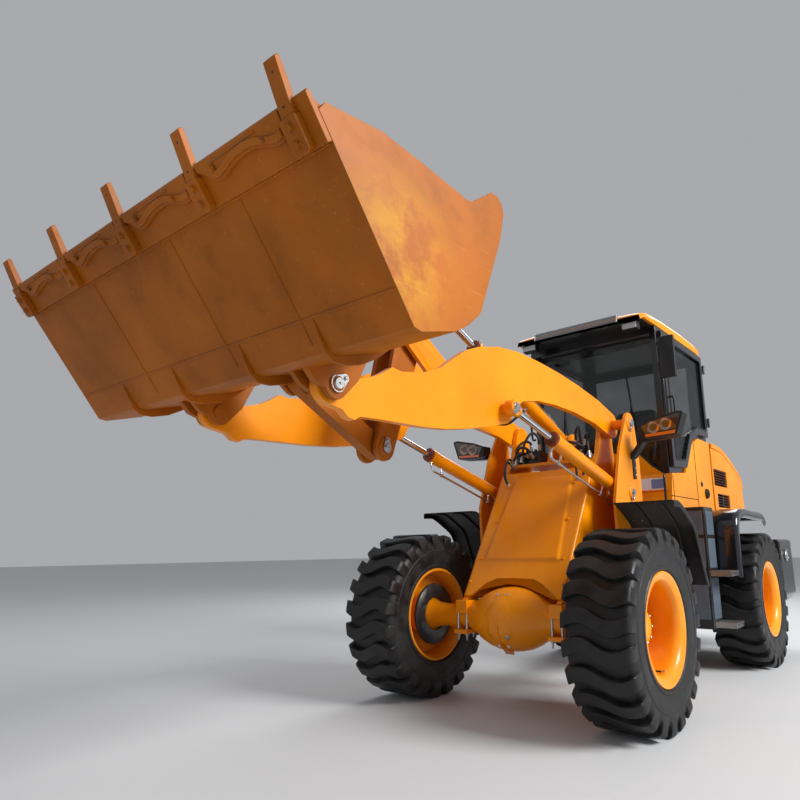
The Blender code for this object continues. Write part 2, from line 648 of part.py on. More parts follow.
def build_cab_frame(parent):
    """Black upper cab of one wall thickness, with window and door openings cut through."""
    wide = CAB_HALF_WIDTH - 0.020
    wall = 0.045
    shell = plate(cab_shell_outline(), "Y", -wide, wide)
    room = box((CAB_BACK_X + wall, wall - wide, 1.500), (-1.5605, wide - wall, 2.900))
    shell = cut(shell, room)
    front = box((-1.700, -0.5653, 1.500), (-1.300, 0.5653, 2.880))
    back = box((CAB_BACK_X - 0.1, -0.500, 2.150), (CAB_BACK_X + 0.1, 0.500, 2.850))
    side_opening = [(-1.590, 1.760), (-1.850, 1.775), (-2.050, 2.045), (-2.280, 2.130), (-2.560, 2.130),
                    (-2.560, 2.870), (-1.530, 2.870)]
    sides = plate(side_opening, "Y", -1.0, 1.0)
    node(cut(shell, front, back, sides), "cab_frame", "black_paint", parent)

    gap = 0.001
    swept = [(0.564, 2.879), (0.564, 1.668)] + [(y, z + gap) for y, z in DASH_TOP[1:]]
    screen = swept + [(-y, z) for y, z in reversed(swept)]
    node(plate(screen, "X", -1.546, -1.540), "windscreen", "tinted_glass", parent)
    node(box((CAB_BACK_X + 0.015, gap - 0.500, 2.150 + gap), (CAB_BACK_X + 0.021, 0.500 - gap, 2.850 - gap)),
         "rear_window", "tinted_glass", parent)
    pane = [(-1.592, 1.762), (-1.849, 1.777), (-2.049, 2.047), (-2.279, 2.132), (-2.558, 2.132),
            (-2.558, 2.868), (-1.533, 2.868)]
    node(plate(pane, "Y", -0.606, -0.600), "right_window", "tinted_glass", parent)


def build_roof(parent):
    """Roof slab with a drooped front edge and a low crown."""
    outline = [(-1.165, 2.975), (-1.180, 3.005), (-1.300, 3.040), (-2.000, 3.070), (-2.660, 3.062),
               (-2.720, 3.020), (-2.720, 2.9503), (-1.200, 2.9503)]
    node(plate(outline, "Y", -0.632, 0.632), "cab_roof", "amber_paint", parent)


def build_door(parent):
    """Left door: a frame over the opening, and its pane."""
    outline = [(-1.535, 1.715), (-1.880, 1.735), (-2.085, 2.005), (-2.305, 2.090), (-2.590, 2.090),
               (-2.590, 2.905), (-1.480, 2.905)]
    pane = [(-1.610, 1.780), (-1.845, 1.795), (-2.040, 2.060), (-2.270, 2.150), (-2.530, 2.150),
            (-2.530, 2.850), (-1.550, 2.850)]
    low = CAB_HALF_WIDTH - 0.015
    high = CAB_HALF_WIDTH + 0.018
    panel = cut(plate(outline, "Y", low, high), plate(pane, "Y", low - 0.1, high + 0.1))
    handle = box((-1.580, high - 0.01, 2.060), (-1.540, high + 0.030, 2.100))
    node(joined(panel, handle), "door_left", "black_paint", parent)
    middle = (sum(x for x, _ in pane) / len(pane), sum(z for _, z in pane) / len(pane))
    smaller = []
    for x, z in pane:
        away = hypot(x - middle[0], z - middle[1])
        keep = 1 - 0.0015 / away
        smaller.append((middle[0] + (x - middle[0]) * keep, middle[1] + (z - middle[1]) * keep))
    node(plate(smaller, "Y", low + 0.010, low + 0.016), "door_left_glass", "tinted_glass", parent)


def build_interior(parent):
    """Driver's seat, and the steering wheel on its column."""
    cushion = box((-2.360, -0.250, CAB_FLOOR + 0.040 + FIT), (-1.960, 0.250, 1.860))
    back = plate([(-2.300, 1.840), (-2.360, 1.840), (-2.500, 2.480), (-2.410, 2.490)], "Y", -0.240, 0.240)
    node(joined(cushion, back), "driver_seat", "seat_vinyl", parent)
    column = rod((-1.640, 0, CAB_FLOOR + 0.100), (-1.770, 0, 2.020), 0.035, 12)
    column = joined(column, box((-1.680, -0.10, CAB_FLOOR + 0.0403), (-1.600, 0.10, 1.700)))
    slope = Vector((-0.140, 0, 0.600)).normalized()
    ring = turned([(0.175, -0.012), (0.205, -0.012), (0.205, 0.012), (0.175, 0.012)],
                  (-1.765, 0, 2.000), slope, 16, ring=True)
    side = Vector((0, 1, 0))
    hub = Vector((-1.765, 0, 2.000))
    spokes = [rod(hub, hub + side * 0.185, 0.010, 8), rod(hub, hub - side * 0.185, 0.010, 8)]
    node(joined(column, ring, *spokes), "steering_wheel", "black_plastic", parent)


def build_mirror(name, side, parent):
    """A mirror head on an arm from the cab's front post."""
    low, high = sorted((side * 0.660, side * 0.815))
    head = box((-1.395, low, 2.440), (-1.355, high, 2.810))
    low, high = sorted((side * (CAB_HALF_WIDTH - 0.020 + FIT), side * 0.720))
    arm = box((-1.470, low, 2.780), (-1.375, high, 2.800))
    foot_low, foot_high = sorted((side * (CAB_HALF_WIDTH - 0.020 + FIT), side * (CAB_HALF_WIDTH - 0.008)))
    foot = box((-1.473, foot_low, 2.750), (-1.455, foot_high, 2.830))
    node(joined(head, arm, foot), f"mirror_{name}", "black_plastic", parent)


def build_cowl(parent):
    """Fixed engine sides and back grille wall, open below and above, and the hinged hood."""
    wide = HOOD_HALF_WIDTH
    outline = [(-2.660, CAB_FLOOR), (-2.660, 2.000), (-3.000, 1.990), (-3.300, 1.910), (-3.640, 1.790),
               (-3.700, 1.740), (-3.720, CAB_FLOOR)]
    sides = plate(outline, "Y", -wide, wide)
    room = [(-2.600, 1.300), (-2.600, 2.200), (-3.680, 2.200), (-3.680, 1.300)]
    shell = cut(sides, plate(room, "Y", 0.025 - wide, wide - 0.025))
    vents = [box((-3.140, -1.0, 1.640), (-2.690, 1.0, 1.800)),
             box((-3.180, -1.0, 1.430), (-2.760, 1.0, 1.560))]
    grille = box((-3.800, -0.450, 1.460), (-3.600, 0.450, 1.720))
    shell = cut(shell, vents[0], vents[1], grille)
    node(shell, "engine_cowl", "amber_paint", parent)


def build_hood(parent):
    """The hood's lid over the cowl, hinged along its front edge."""
    lower = [(HOOD_HINGE[0], 2.006), (-3.000, 1.996), (-3.300, 1.916), (-3.640, 1.796), (-3.706, 1.744),
             (-3.730, 1.660)]
    upper = [(-3.748, 1.664), (-3.725, 1.756), (-3.650, 1.822), (-3.310, 1.960), (-3.000, 2.045),
             (HOOD_HINGE[0], 2.058)]
    node(plate(lower + upper, "Y", -HOOD_HALF_WIDTH, HOOD_HALF_WIDTH), "engine_hood", "amber_paint", parent)


def build_rear_fender(name, side, parent):
    """A bent sheet from the ladder over the rear tyre."""
    top = [(-1.940, 0.800), (-1.965, 1.260), (-2.060, 1.350), (-2.240, 1.3797), (-2.900, 1.3650),
           (-3.020, 1.310)]
    under = [(-3.010, 1.292), (-2.895, 1.345), (-2.245, 1.358), (-2.070, 1.330), (-1.984, 1.250),
             (-1.960, 0.800)]
    item = plate(top + under, "Y", side * (0.620 + FIT), side * 1.000)
    node(item, f"rear_fender_{name}", "black_plastic", parent)


def build_ladder(name, side, parent):
    """Step box under the cab door with two treads."""
    low, high = sorted((side * 0.560, side * 0.820))
    body = box((-1.920, low, 0.400), (-1.680, high, CAB_FLOOR - FIT))
    low, high = sorted((side * 0.800, side * 0.990))
    treads = [box((-1.905, low, z - 0.035), (-1.700, high, z)) for z in (0.450, 0.850)]
    node(joined(body, *treads), f"ladder_{name}", "black_paint", parent)


# ---------------------------------------------------------------- assembly

clear_scene()
machine = pivot("MACHINE", (0, 0, 0))
articulation = pivot("pivot_articulation", (*ARTICULATION, 0.8), machine)
boom = pivot("pivot_boom", (BOOM_PIVOT[0], 0, BOOM_PIVOT[1]), articulation)
rocker = pivot("pivot_rocker", (ROCKER_PIVOT[0], 0, ROCKER_PIVOT[1]), boom)
link = pivot("pivot_link", (ROCKER_LOW[0], 0, ROCKER_LOW[1]), rocker)
bucket = pivot("pivot_bucket", (BUCKET_PIVOT[0], 0, BUCKET_PIVOT[1]), boom)
door = pivot("pivot_door", (*DOOR_HINGE, 2.3), machine)
hood = pivot("pivot_hood", (HOOD_HINGE[0], 0, HOOD_HINGE[1]), machine)

cylinder_pivots = {}
for hand, sign in (("left", 1), ("right", -1)):
    lift = pivot(f"pivot_lift_barrel_{hand}", (LIFT_BASE[0], sign * LIFT_LINE, LIFT_BASE[1]), articulation)
    cylinder_pivots[f"lift_barrel_{hand}"] = lift
    cylinder_pivots[f"lift_rod_{hand}"] = pivot(f"pivot_lift_rod_{hand}",
                                                (LIFT_EYE[0], sign * LIFT_LINE, LIFT_EYE[1]), lift)
    steer = pivot(f"pivot_steer_barrel_{hand}", (STEER_REAR[0], sign * STEER_REAR[1], STEER_HEIGHT), machine)
    cylinder_pivots[f"steer_barrel_{hand}"] = steer
    cylinder_pivots[f"steer_rod_{hand}"] = pivot(f"pivot_steer_rod_{hand}",
                                                 (STEER_FRONT[0], sign * STEER_FRONT[1], STEER_HEIGHT), steer)
cylinder_pivots["tilt_barrel"] = pivot("pivot_tilt_barrel", (TILT_BASE[0], 0, TILT_BASE[1]), articulation)
cylinder_pivots["tilt_rod"] = pivot("pivot_tilt_rod", (ROCKER_TOP[0], 0, ROCKER_TOP[1]),
                                    cylinder_pivots["tilt_barrel"])

build_rear_frame(machine)
node(axle_solid(-WHEELBASE, 1), "rear_axle", "black_paint", machine)
build_engine(machine)
build_counterweight(machine)
build_cab_base(machine)
build_cab_frame(machine)
build_roof(machine)
build_interior(machine)
build_cowl(machine)
build_front_frame(articulation)
node(axle_solid(0.0, -1), "front_axle", "amber_paint", articulation)
build_boom(boom)
build_rocker(rocker)
build_link(link)
build_bucket(bucket)
build_tilt_cylinder(cylinder_pivots)
build_door(door)
build_hood(hood)
build_wheels(articulation, machine)
for hand, sign in (("left", 1), ("right", -1)):
    build_tower(hand, sign, articulation)
    build_front_fender(hand, sign, articulation)
    build_headlight(hand, sign, articulation)
    build_lift_cylinder(hand, sign, cylinder_pivots)
    build_steering_cylinder(hand, sign, cylinder_pivots)
    build_mirror(hand, sign, machine)
    build_rear_fender(hand, sign, machine)
    build_ladder(hand, sign, machine)

machine.location.x = FRONT_AXLE_X
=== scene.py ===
"""Looks of a compact articulated wheel loader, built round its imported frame.

Every place is in metres in the frame's own axes: +X forward, +Y the machine's left, +Z up.
Sizes across and along the machine are counted from the front axle, whose place the frame gives.
"""

import json

import bmesh
import bpy
import numpy as np
from mathutils import Euler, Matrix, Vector


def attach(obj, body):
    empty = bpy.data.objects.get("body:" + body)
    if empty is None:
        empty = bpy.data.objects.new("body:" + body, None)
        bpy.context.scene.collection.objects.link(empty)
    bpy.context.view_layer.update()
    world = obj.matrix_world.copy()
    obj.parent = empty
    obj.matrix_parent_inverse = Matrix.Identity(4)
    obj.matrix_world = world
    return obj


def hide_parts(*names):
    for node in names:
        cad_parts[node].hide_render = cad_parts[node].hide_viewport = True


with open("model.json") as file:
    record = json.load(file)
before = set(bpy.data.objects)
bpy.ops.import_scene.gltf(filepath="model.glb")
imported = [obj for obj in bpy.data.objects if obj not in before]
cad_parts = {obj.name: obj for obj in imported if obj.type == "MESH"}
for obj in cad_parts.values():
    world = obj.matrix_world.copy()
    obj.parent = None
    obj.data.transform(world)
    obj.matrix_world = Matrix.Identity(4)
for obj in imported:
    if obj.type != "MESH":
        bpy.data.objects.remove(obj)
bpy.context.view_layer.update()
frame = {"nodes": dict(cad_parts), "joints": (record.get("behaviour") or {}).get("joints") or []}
PIVOT = {joint["name"]: np.array(joint["pos_m"]) for joint in frame["joints"] if "pos_m" in joint}
AXLE_X, _, AXLE_Z = PIVOT["wheel_front_left"]
HANDS = (("left", 1), ("right", -1))

# ---------------------------------------------------------------- rear frame
# The rear frame is cut and welded from thick plate: two rails, a hinge box and cross members.
# It is sprayed with black chassis enamel, which dries glossy and catches dust on its flat tops.


def linear(hex_colour):
    """Turn an sRGB hex colour into linear red, green, blue and alpha: ((c + 0.055) / 1.055) ^ 2.4."""
    parts = np.array([int(hex_colour[i:i + 2], 16) / 255 for i in (1, 3, 5)])
    curve = np.where(parts <= 0.04045, parts / 12.92, ((parts + 0.055) / 1.055) ** 2.4)
    return (*(float(part) for part in curve), 1.0)


def add(tree, kind, links=None, values=None, **settings):
    """Add a shader node with its settings, its input values and its links {input: (node, output)}."""
    item = tree.nodes.new("ShaderNode" + kind)
    for name, value in settings.items():
        setattr(item, name, value)
    for name, value in (values or {}).items():
        item.inputs[name].default_value = value
    for name, (source, output) in (links or {}).items():
        tree.links.new(source.outputs[output], item.inputs[name])
    return item


def new_material(name, **values):
    """A Principled material with values on the shader's own sockets; returns it, its tree and shader."""
    material = bpy.data.materials.new(name)
    material.use_nodes = True
    tree = material.node_tree
    shader = tree.nodes["Principled BSDF"]
    for socket, value in values.items():
        shader.inputs[socket.replace("_", " ")].default_value = value
    return material, tree, shader


FACTOR, FIRST, SECOND, MIXED = 0, 6, 7, 2


def chipped_edges(tree, place, coat, bare, scale, upper, wear):
    """Bare metal where a rounded normal leaves the true one, within 6 mm of an edge, broken by noise."""
    facing = add(tree, "NewGeometry")
    soft = add(tree, "Bevel", {}, {"Radius": 0.006}, samples=3)
    alike = add(tree, "VectorMath", {0: (soft, 0), 1: (facing, "Normal")}, operation="DOT_PRODUCT")
    edge = add(tree, "MapRange", {"Value": (alike, "Value")},
               {"From Min": 0.995, "From Max": 0.90, "To Max": wear})
    chips = add(tree, "TexNoise", {"Vector": (place, "Object")}, {"Scale": scale, "Detail": 6.0})
    chipped = add(tree, "MapRange", {"Value": (chips, "Fac")}, {"From Min": 0.50, "From Max": upper})
    scuff = add(tree, "Math", {0: (edge, 0), 1: (chipped, 0)}, operation="MULTIPLY")
    return add(tree, "Mix", {FACTOR: (scuff, 0), FIRST: (coat, MIXED)}, {SECOND: linear(bare)},
               data_type="RGBA")


def enamel(name, fresh, faded, dust, bare, roughness, dust_share, wear, coat):
    """Sprayed enamel: patches of fresh and faded colour, dust on what faces up, bare chipped edges.

    Colour = mix(fresh, faded, broad noise), then dust by normal.z * noise, then bare metal where
    a rounded normal leaves the true one, which happens only within 6 mm of an edge.
    """
    material, tree, shader = new_material(name, Coat_Weight=coat, Coat_Roughness=0.12, Specular_IOR_Level=0.3)
    place = add(tree, "TexCoord")
    broad = add(tree, "TexNoise", {"Vector": (place, "Object")}, {"Scale": 2.2, "Detail": 5.0})
    patch = add(tree, "MapRange", {"Value": (broad, "Fac")}, {"From Min": 0.38, "From Max": 0.66})
    colour = add(tree, "Mix", {FACTOR: (patch, 0)}, {FIRST: linear(fresh), SECOND: linear(faded)},
                 data_type="RGBA")
    facing = add(tree, "NewGeometry")
    split = add(tree, "SeparateXYZ", {"Vector": (facing, "Normal")})
    grit = add(tree, "TexNoise", {"Vector": (place, "Object")}, {"Scale": 14.0, "Detail": 8.0})
    film = add(tree, "MapRange", {"Value": (grit, "Fac")}, {"From Min": 0.35, "From Max": 0.75})
    up = add(tree, "MapRange", {"Value": (split, "Z")}, {"From Min": -0.2, "From Max": 1.0, "To Min": 0.10})
    settled = add(tree, "Math", {0: (film, 0), 1: (up, 0)}, operation="MULTIPLY")
    share = add(tree, "Math", {0: (settled, 0)}, {1: dust_share}, operation="MULTIPLY")
    dusty = add(tree, "Mix", {FACTOR: (share, 0), FIRST: (colour, MIXED)}, {SECOND: linear(dust)},
                data_type="RGBA")
    final = chipped_edges(tree, place, dusty, bare, 30.0, 0.62, wear)
    tree.links.new(final.outputs[MIXED], shader.inputs["Base Color"])
    matt = add(tree, "MapRange", {"Value": (share, 0)},
               {"From Max": 0.6, "To Min": roughness, "To Max": min(roughness + 0.35, 0.9)})
    tree.links.new(matt.outputs[0], shader.inputs["Roughness"])
    # Orange peel: the paint's own ripple is 2 to 4 mm across; it is drawn 6 mm wide so that it shows.
    peel = add(tree, "TexNoise", {"Vector": (place, "Object")}, {"Scale": 160.0, "Detail": 1.0})
    rise = add(tree, "Bump", {"Height": (peel, "Fac")}, {"Strength": 0.05, "Distance": 0.002})
    tree.links.new(rise.outputs[0], shader.inputs["Normal"])
    return material


chassis_black = enamel("chassis_black_enamel", "#14161A", "#1C1E22", "#6E665A", "#5B5A58", 0.28, 0.50, 0.8, 0.3)


def finish(item, material, body):
    """Give a piece its material and hang it on its body."""
    item.data.materials.clear()
    item.data.materials.append(material)
    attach(item, body)
    return item


def rolled_edges(item, width, segments):
    """Round every edge sharper than 32 degrees over a width, if one is given."""
    if width:
        roll = item.modifiers.new("rolled_edges", "BEVEL")
        roll.width = width
        roll.segments = segments
        roll.limit_method = "ANGLE"
        roll.angle_limit = np.radians(32)
        roll.harden_normals = True


def refined(node, bevel, material, body, segments=2):
    """A CAD node's own shape with rolled edges: its triangles are merged, flattened and bevelled."""
    mesh = frame["nodes"][node].data.copy()
    bm = bmesh.new()
    bm.from_mesh(mesh)
    bmesh.ops.remove_doubles(bm, verts=bm.verts, dist=0.00005)
    bmesh.ops.dissolve_limit(bm, angle_limit=0.01, verts=bm.verts, edges=bm.edges)
    for edge in bm.edges:
        edge.smooth = True
    bm.to_mesh(mesh)
    bm.free()
    item = bpy.data.objects.new(node + "_skin", mesh)
    bpy.context.scene.collection.objects.link(item)
    mesh.shade_smooth()
    mesh.set_sharp_from_angle(angle=np.radians(40))
    rolled_edges(item, bevel, segments)
    finish(item, material, body)
    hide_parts(node)
    return item


refined("rear_frame", 0.003, chassis_black, "rear_frame")

# ---------------------------------------------------------------- axles
# Each axle is a cast banjo housing with a planetary hub at both ends, bolted up under the frame
# pads. The front one is painted with the machine; a flange with a ring of bolts closes its bulge.

ACROSS = np.array((0.0, 1.0, 0.0))


def square_to(direction):
    """Two unit vectors square to a direction and to each other."""
    axis = np.asarray(direction, float)
    axis = axis / np.linalg.norm(axis)
    helper = np.array((0.0, 0.0, 1.0)) if abs(axis[2]) < 0.9 else np.array((1.0, 0.0, 0.0))
    side = np.cross(axis, helper)
    side /= np.linalg.norm(side)
    return axis, side, np.cross(side, axis)


def grid_shape(grid, round_rows=False, round_columns=False, capped=False):
    """Points and quads of a (rows, columns, 3) grid; capped closes the first and last row."""
    rows, columns = grid.shape[:2]
    numbers = np.arange(rows * columns).reshape(rows, columns)
    wide = np.hstack((numbers, numbers[:, :1])) if round_columns else numbers
    tall = np.vstack((wide, wide[:1])) if round_rows else wide
    quads = np.stack((tall[:-1, :-1], tall[:-1, 1:], tall[1:, 1:], tall[1:, :-1]), -1).reshape(-1, 4)
    faces = quads.tolist()
    if capped:
        faces += [numbers[0, ::-1].tolist(), numbers[-1].tolist()]
    return grid.reshape(-1, 3), faces


def lathe(profile, centre, axis, sides=32, closed=False):
    """Profile (radius, distance) turned about an axis: p = centre + d*axis + r*(cos a*side + sin a*up)."""
    axis, side, up = square_to(axis)
    radius, distance = np.array(profile, float).T
    angle = np.linspace(0, 2 * np.pi, sides, endpoint=False)
    ring = np.cos(angle)[:, None] * side + np.sin(angle)[:, None] * up
    grid = np.array(centre) + distance[:, None, None] * axis + radius[:, None, None] * ring[None]
    return grid_shape(grid, round_rows=closed, round_columns=True, capped=not closed)


def bolt(place, direction, size, stud=0.0):
    """A hexagon head on a washer; size is the washer's radius, and a stud sticks out past the head."""
    axis = square_to(direction)[0]
    place = np.array(place, float)
    parts = [lathe([(size * 0.9, 0), (size, size * 0.1), (size * 0.95, size * 0.28)], place, axis, 16),
             lathe([(size * 0.78, size * 0.25), (size * 0.78, size * 0.75), (size * 0.62, size * 0.88)],
                   place, axis, 6)]
    if stud:
        parts.append(lathe([(size * 0.38, 0), (size * 0.38, stud * 0.95), (size * 0.28, stud)], place, axis, 10))
    return parts


def block(low, high):
    """A box between two corners, as a two-row grid of its foot and head."""
    (x0, y0, z0), (x1, y1, z1) = low, high
    foot = [(x0, y0, z0), (x1, y0, z0), (x1, y1, z0), (x0, y1, z0)]
    head = [(x, y, z1) for x, y, _ in foot]
    return grid_shape(np.array((foot, head), float), round_columns=True, capped=True)


def slab(outline, axis, low, high):
    """An outline carried along an axis from low to high: Y takes (x, z) and X takes (y, z)."""
    a, b = np.array(outline, float).T
    order = {"Y": (0, 2, 1), "X": (2, 0, 1)}[axis]
    rows = []
    for level in (low, high):
        flat = np.stack((a, b, np.full(len(a), level)), -1)
        rows.append(flat[:, order])
    return grid_shape(np.array(rows), round_columns=True, capped=True)


def piece(name, shapes, material, body, bevel=0.0, smooth=38, segments=2):
    """One object out of several shapes, its faces turned outwards, its edges rolled if asked."""
    points, faces, count = [], [], 0
    for vertices, corners in shapes:
        points.append(vertices)
        faces += [[index + count for index in corner] for corner in corners]
        count += len(vertices)
    mesh = bpy.data.meshes.new(name)
    mesh.from_pydata(np.concatenate(points).tolist(), [], faces)
    bm = bmesh.new()
    bm.from_mesh(mesh)
    bmesh.ops.remove_doubles(bm, verts=bm.verts, dist=0.00001)
    bmesh.ops.recalc_face_normals(bm, faces=bm.faces)
    bm.to_mesh(mesh)
    bm.free()
    mesh.shade_smooth()
    mesh.set_sharp_from_angle(angle=np.radians(smooth))
    item = bpy.data.objects.new(name, mesh)
    bpy.context.scene.collection.objects.link(item)
    rolled_edges(item, bevel, segments)
    return finish(item, material, body)


amber = enamel("amber_enamel", "#F39200", "#E78600", "#8E6A38", "#A8741F", 0.32, 0.12, 0.3, 0.12)


def zinc_metal():
    """Bright zinc plate on fasteners: blue-grey metal with cloudy roughness, 8 mm patches."""
    material, tree, shader = new_material("zinc_plated_steel", Metallic=1.0)
    place = add(tree, "TexCoord")
    cloud = add(tree, "TexNoise", {"Vector": (place, "Object")}, {"Scale": 120.0, "Detail": 3.0})
    tone = add(tree, "Mix", {FACTOR: (cloud, "Fac")}, {FIRST: linear("#9DA0A3"), SECOND: linear("#DADBD9")},
               data_type="RGBA")
    tree.links.new(tone.outputs[MIXED], shader.inputs["Base Color"])
    sheen = add(tree, "MapRange", {"Value": (cloud, "Fac")}, {"To Min": 0.22, "To Max": 0.45})
    tree.links.new(sheen.outputs[0], shader.inputs["Roughness"])
    return material


zinc = zinc_metal()

AXLE_HALF = [(0.118, 0.826), (0.150, 0.815), (0.152, 0.800), (0.152, 0.735), (0.140, 0.722), (0.112, 0.712),
             (0.098, 0.690), (0.086, 0.640), (0.080, 0.560), (0.082, 0.420), (0.094, 0.330), (0.126, 0.262),
             (0.164, 0.200), (0.190, 0.140), (0.205, 0.075), (0.212, 0.0)]


def axle(end, x, nose, paint, body):
    """Housing turned about the axle line, a nose to the drive shaft, pads, studs and cover bolts."""
    both = [(r, -t) for r, t in AXLE_HALF] + [(r, t) for r, t in reversed(AXLE_HALF[:-1])]
    centre = np.array((x, 0, AXLE_Z))
    shapes = [lathe(both, centre, ACROSS, 48)]
    snout = [(0.150, 0.10), (0.128, 0.20), (0.112, 0.24), (0.112, 0.262), (0.084, 0.268), (0.080, 0.335),
             (0.052, 0.340)]
    shapes.append(lathe(snout, centre, (nose, 0, 0.06), 32))
    # The banjo's flange: a thin raised ring round the bulge's far side with its cover.
    shapes.append(lathe([(0.178, 0.10), (0.178, 0.128), (0.150, 0.150), (0.120, 0.190), (0.070, 0.212),
                         (0.0, 0.219)], centre, (-nose, 0, -0.04), 40))
    ridge = [(-nose * 0.226, -0.052), (-nose * 0.218, 0.060), (-nose * 0.150, 0.150), (-nose * 0.020, 0.205),
             (-nose * 0.020, -0.232), (-nose * 0.110, -0.214), (-nose * 0.180, -0.150)]
    shapes.append(slab([(x + a, AXLE_Z + b) for a, b in ridge], "Y", -0.006, 0.006))
    for side in (1, -1):
        pad = side * 0.375
        shapes.append(block((x - 0.105, pad - 0.048, 0.610), (x + 0.105, pad + 0.048, 0.698)))
        web = [(x - 0.09, 0.66), (x + 0.09, 0.66), (x + 0.05, AXLE_Z), (x - 0.05, AXLE_Z)]
        shapes += [slab(web, "Y", side * out - 0.008, side * out + 0.008) for out in (0.300, 0.450)]
        shapes.append(block((x - 0.120, pad - 0.055, 0.474), (x + 0.120, pad + 0.055, 0.502)))
    piece(f"{end}_axle_housing", shapes, paint, body, bevel=0.004, smooth=50)
    turns = np.linspace(0, 2 * np.pi, 14, endpoint=False)
    heads = []
    for turn in turns:
        rim = centre + np.array((-nose * 0.1285, 0.166 * np.cos(turn), 0.166 * np.sin(turn)))
        heads += bolt(rim, (-nose, 0, 0), 0.013)
    for side in (1, -1):
        for turn in turns:
            spot = centre + np.array((0.128 * np.cos(turn), side * 0.720, 0.128 * np.sin(turn)))
            heads += bolt(spot, (0, -side, 0), 0.012)
        for along_x in (-0.088, 0.088):
            for out in (-0.036, 0.036):
                heads += bolt((x + along_x, side * 0.375 + out, 0.474), (0, 0, -1), 0.017, 0.045)
                heads.append(lathe([(0.010, 0), (0.010, 0.125)], (x + along_x, side * 0.375 + out, 0.490),
                                   (0, 0, 1), 10))
    heads += bolt(centre + np.array((-nose * 0.180, 0.062, -0.090)), (-nose, 0, -0.5), 0.022)
    piece(f"{end}_axle_bolts", heads, zinc, body)
    # Black brake back-plates inboard of the hubs. They are black all over so that they also paint the shade that
    # falls inside the rims.
    brake_and_shade_discs = [lathe([(0.120, 0.690), (0.212, 0.694), (0.218, 0.700), (0.218, 0.716), (0.120, 0.716)], centre,
                   (0, side, 0), 40, closed=True) for side in (1, -1)]
    piece(f"{end}_brake_plates", brake_and_shade_discs, chassis_black, body, smooth=50)
    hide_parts(f"{end}_axle")


axle("front", AXLE_X, -1, amber, "front_frame")
axle("rear", PIVOT["wheel_rear_left"][0], 1, chassis_black, "rear_frame")

# ---------------------------------------------------------------- tyres
# A bias-ply earthmover tyre is moulded black rubber with 23 wavy bars across its tread; each bar
# runs over the shoulder and ends in a block on the side wall. New rubber is grey where it is dusty.

LUGS = 23
TREAD = (0.548, 0.585)
BAR_WAVE = 0.034


def rubber():
    """Moulded carbon-black rubber: near black, with a brown-grey dust film in noise patches."""
    material, tree, shader = new_material("moulded_tyre_rubber", Specular_IOR_Level=0.35)
    place = add(tree, "TexCoord")
    smear = add(tree, "TexNoise", {"Vector": (place, "Object")}, {"Scale": 9.0, "Detail": 7.0})
    film = add(tree, "MapRange", {"Value": (smear, "Fac")}, {"From Min": 0.40, "From Max": 0.70})
    tone = add(tree, "Mix", {FACTOR: (film, 0)}, {FIRST: linear("#111214"), SECOND: linear("#2A2827")},
               data_type="RGBA")
    tree.links.new(tone.outputs[MIXED], shader.inputs["Base Color"])
    matt = add(tree, "MapRange", {"Value": (film, 0)}, {"To Min": 0.40, "To Max": 0.74})
    tree.links.new(matt.outputs[0], shader.inputs["Roughness"])
    # Mould texture: fine pits 1 mm across, drawn 3 mm wide so that they show.
    pits = add(tree, "TexNoise", {"Vector": (place, "Object")}, {"Scale": 330.0, "Detail": 2.0})
    rise = add(tree, "Bump", {"Height": (pits, "Fac")}, {"Strength": 0.14, "Distance": 0.002})
    tree.links.new(rise.outputs[0], shader.inputs["Normal"])
    return material


tyre_rubber = rubber()


def section(points, count):
    """Evenly spaced places along a polyline of (radius, across)."""
    points = np.array(points, float)
    length = np.concatenate(([0], np.cumsum(np.hypot(*np.diff(points, axis=0).T))))
    wanted = np.linspace(0, length[-1], count)
    return np.stack((np.interp(wanted, length, points[:, 0]), np.interp(wanted, length, points[:, 1])), -1)


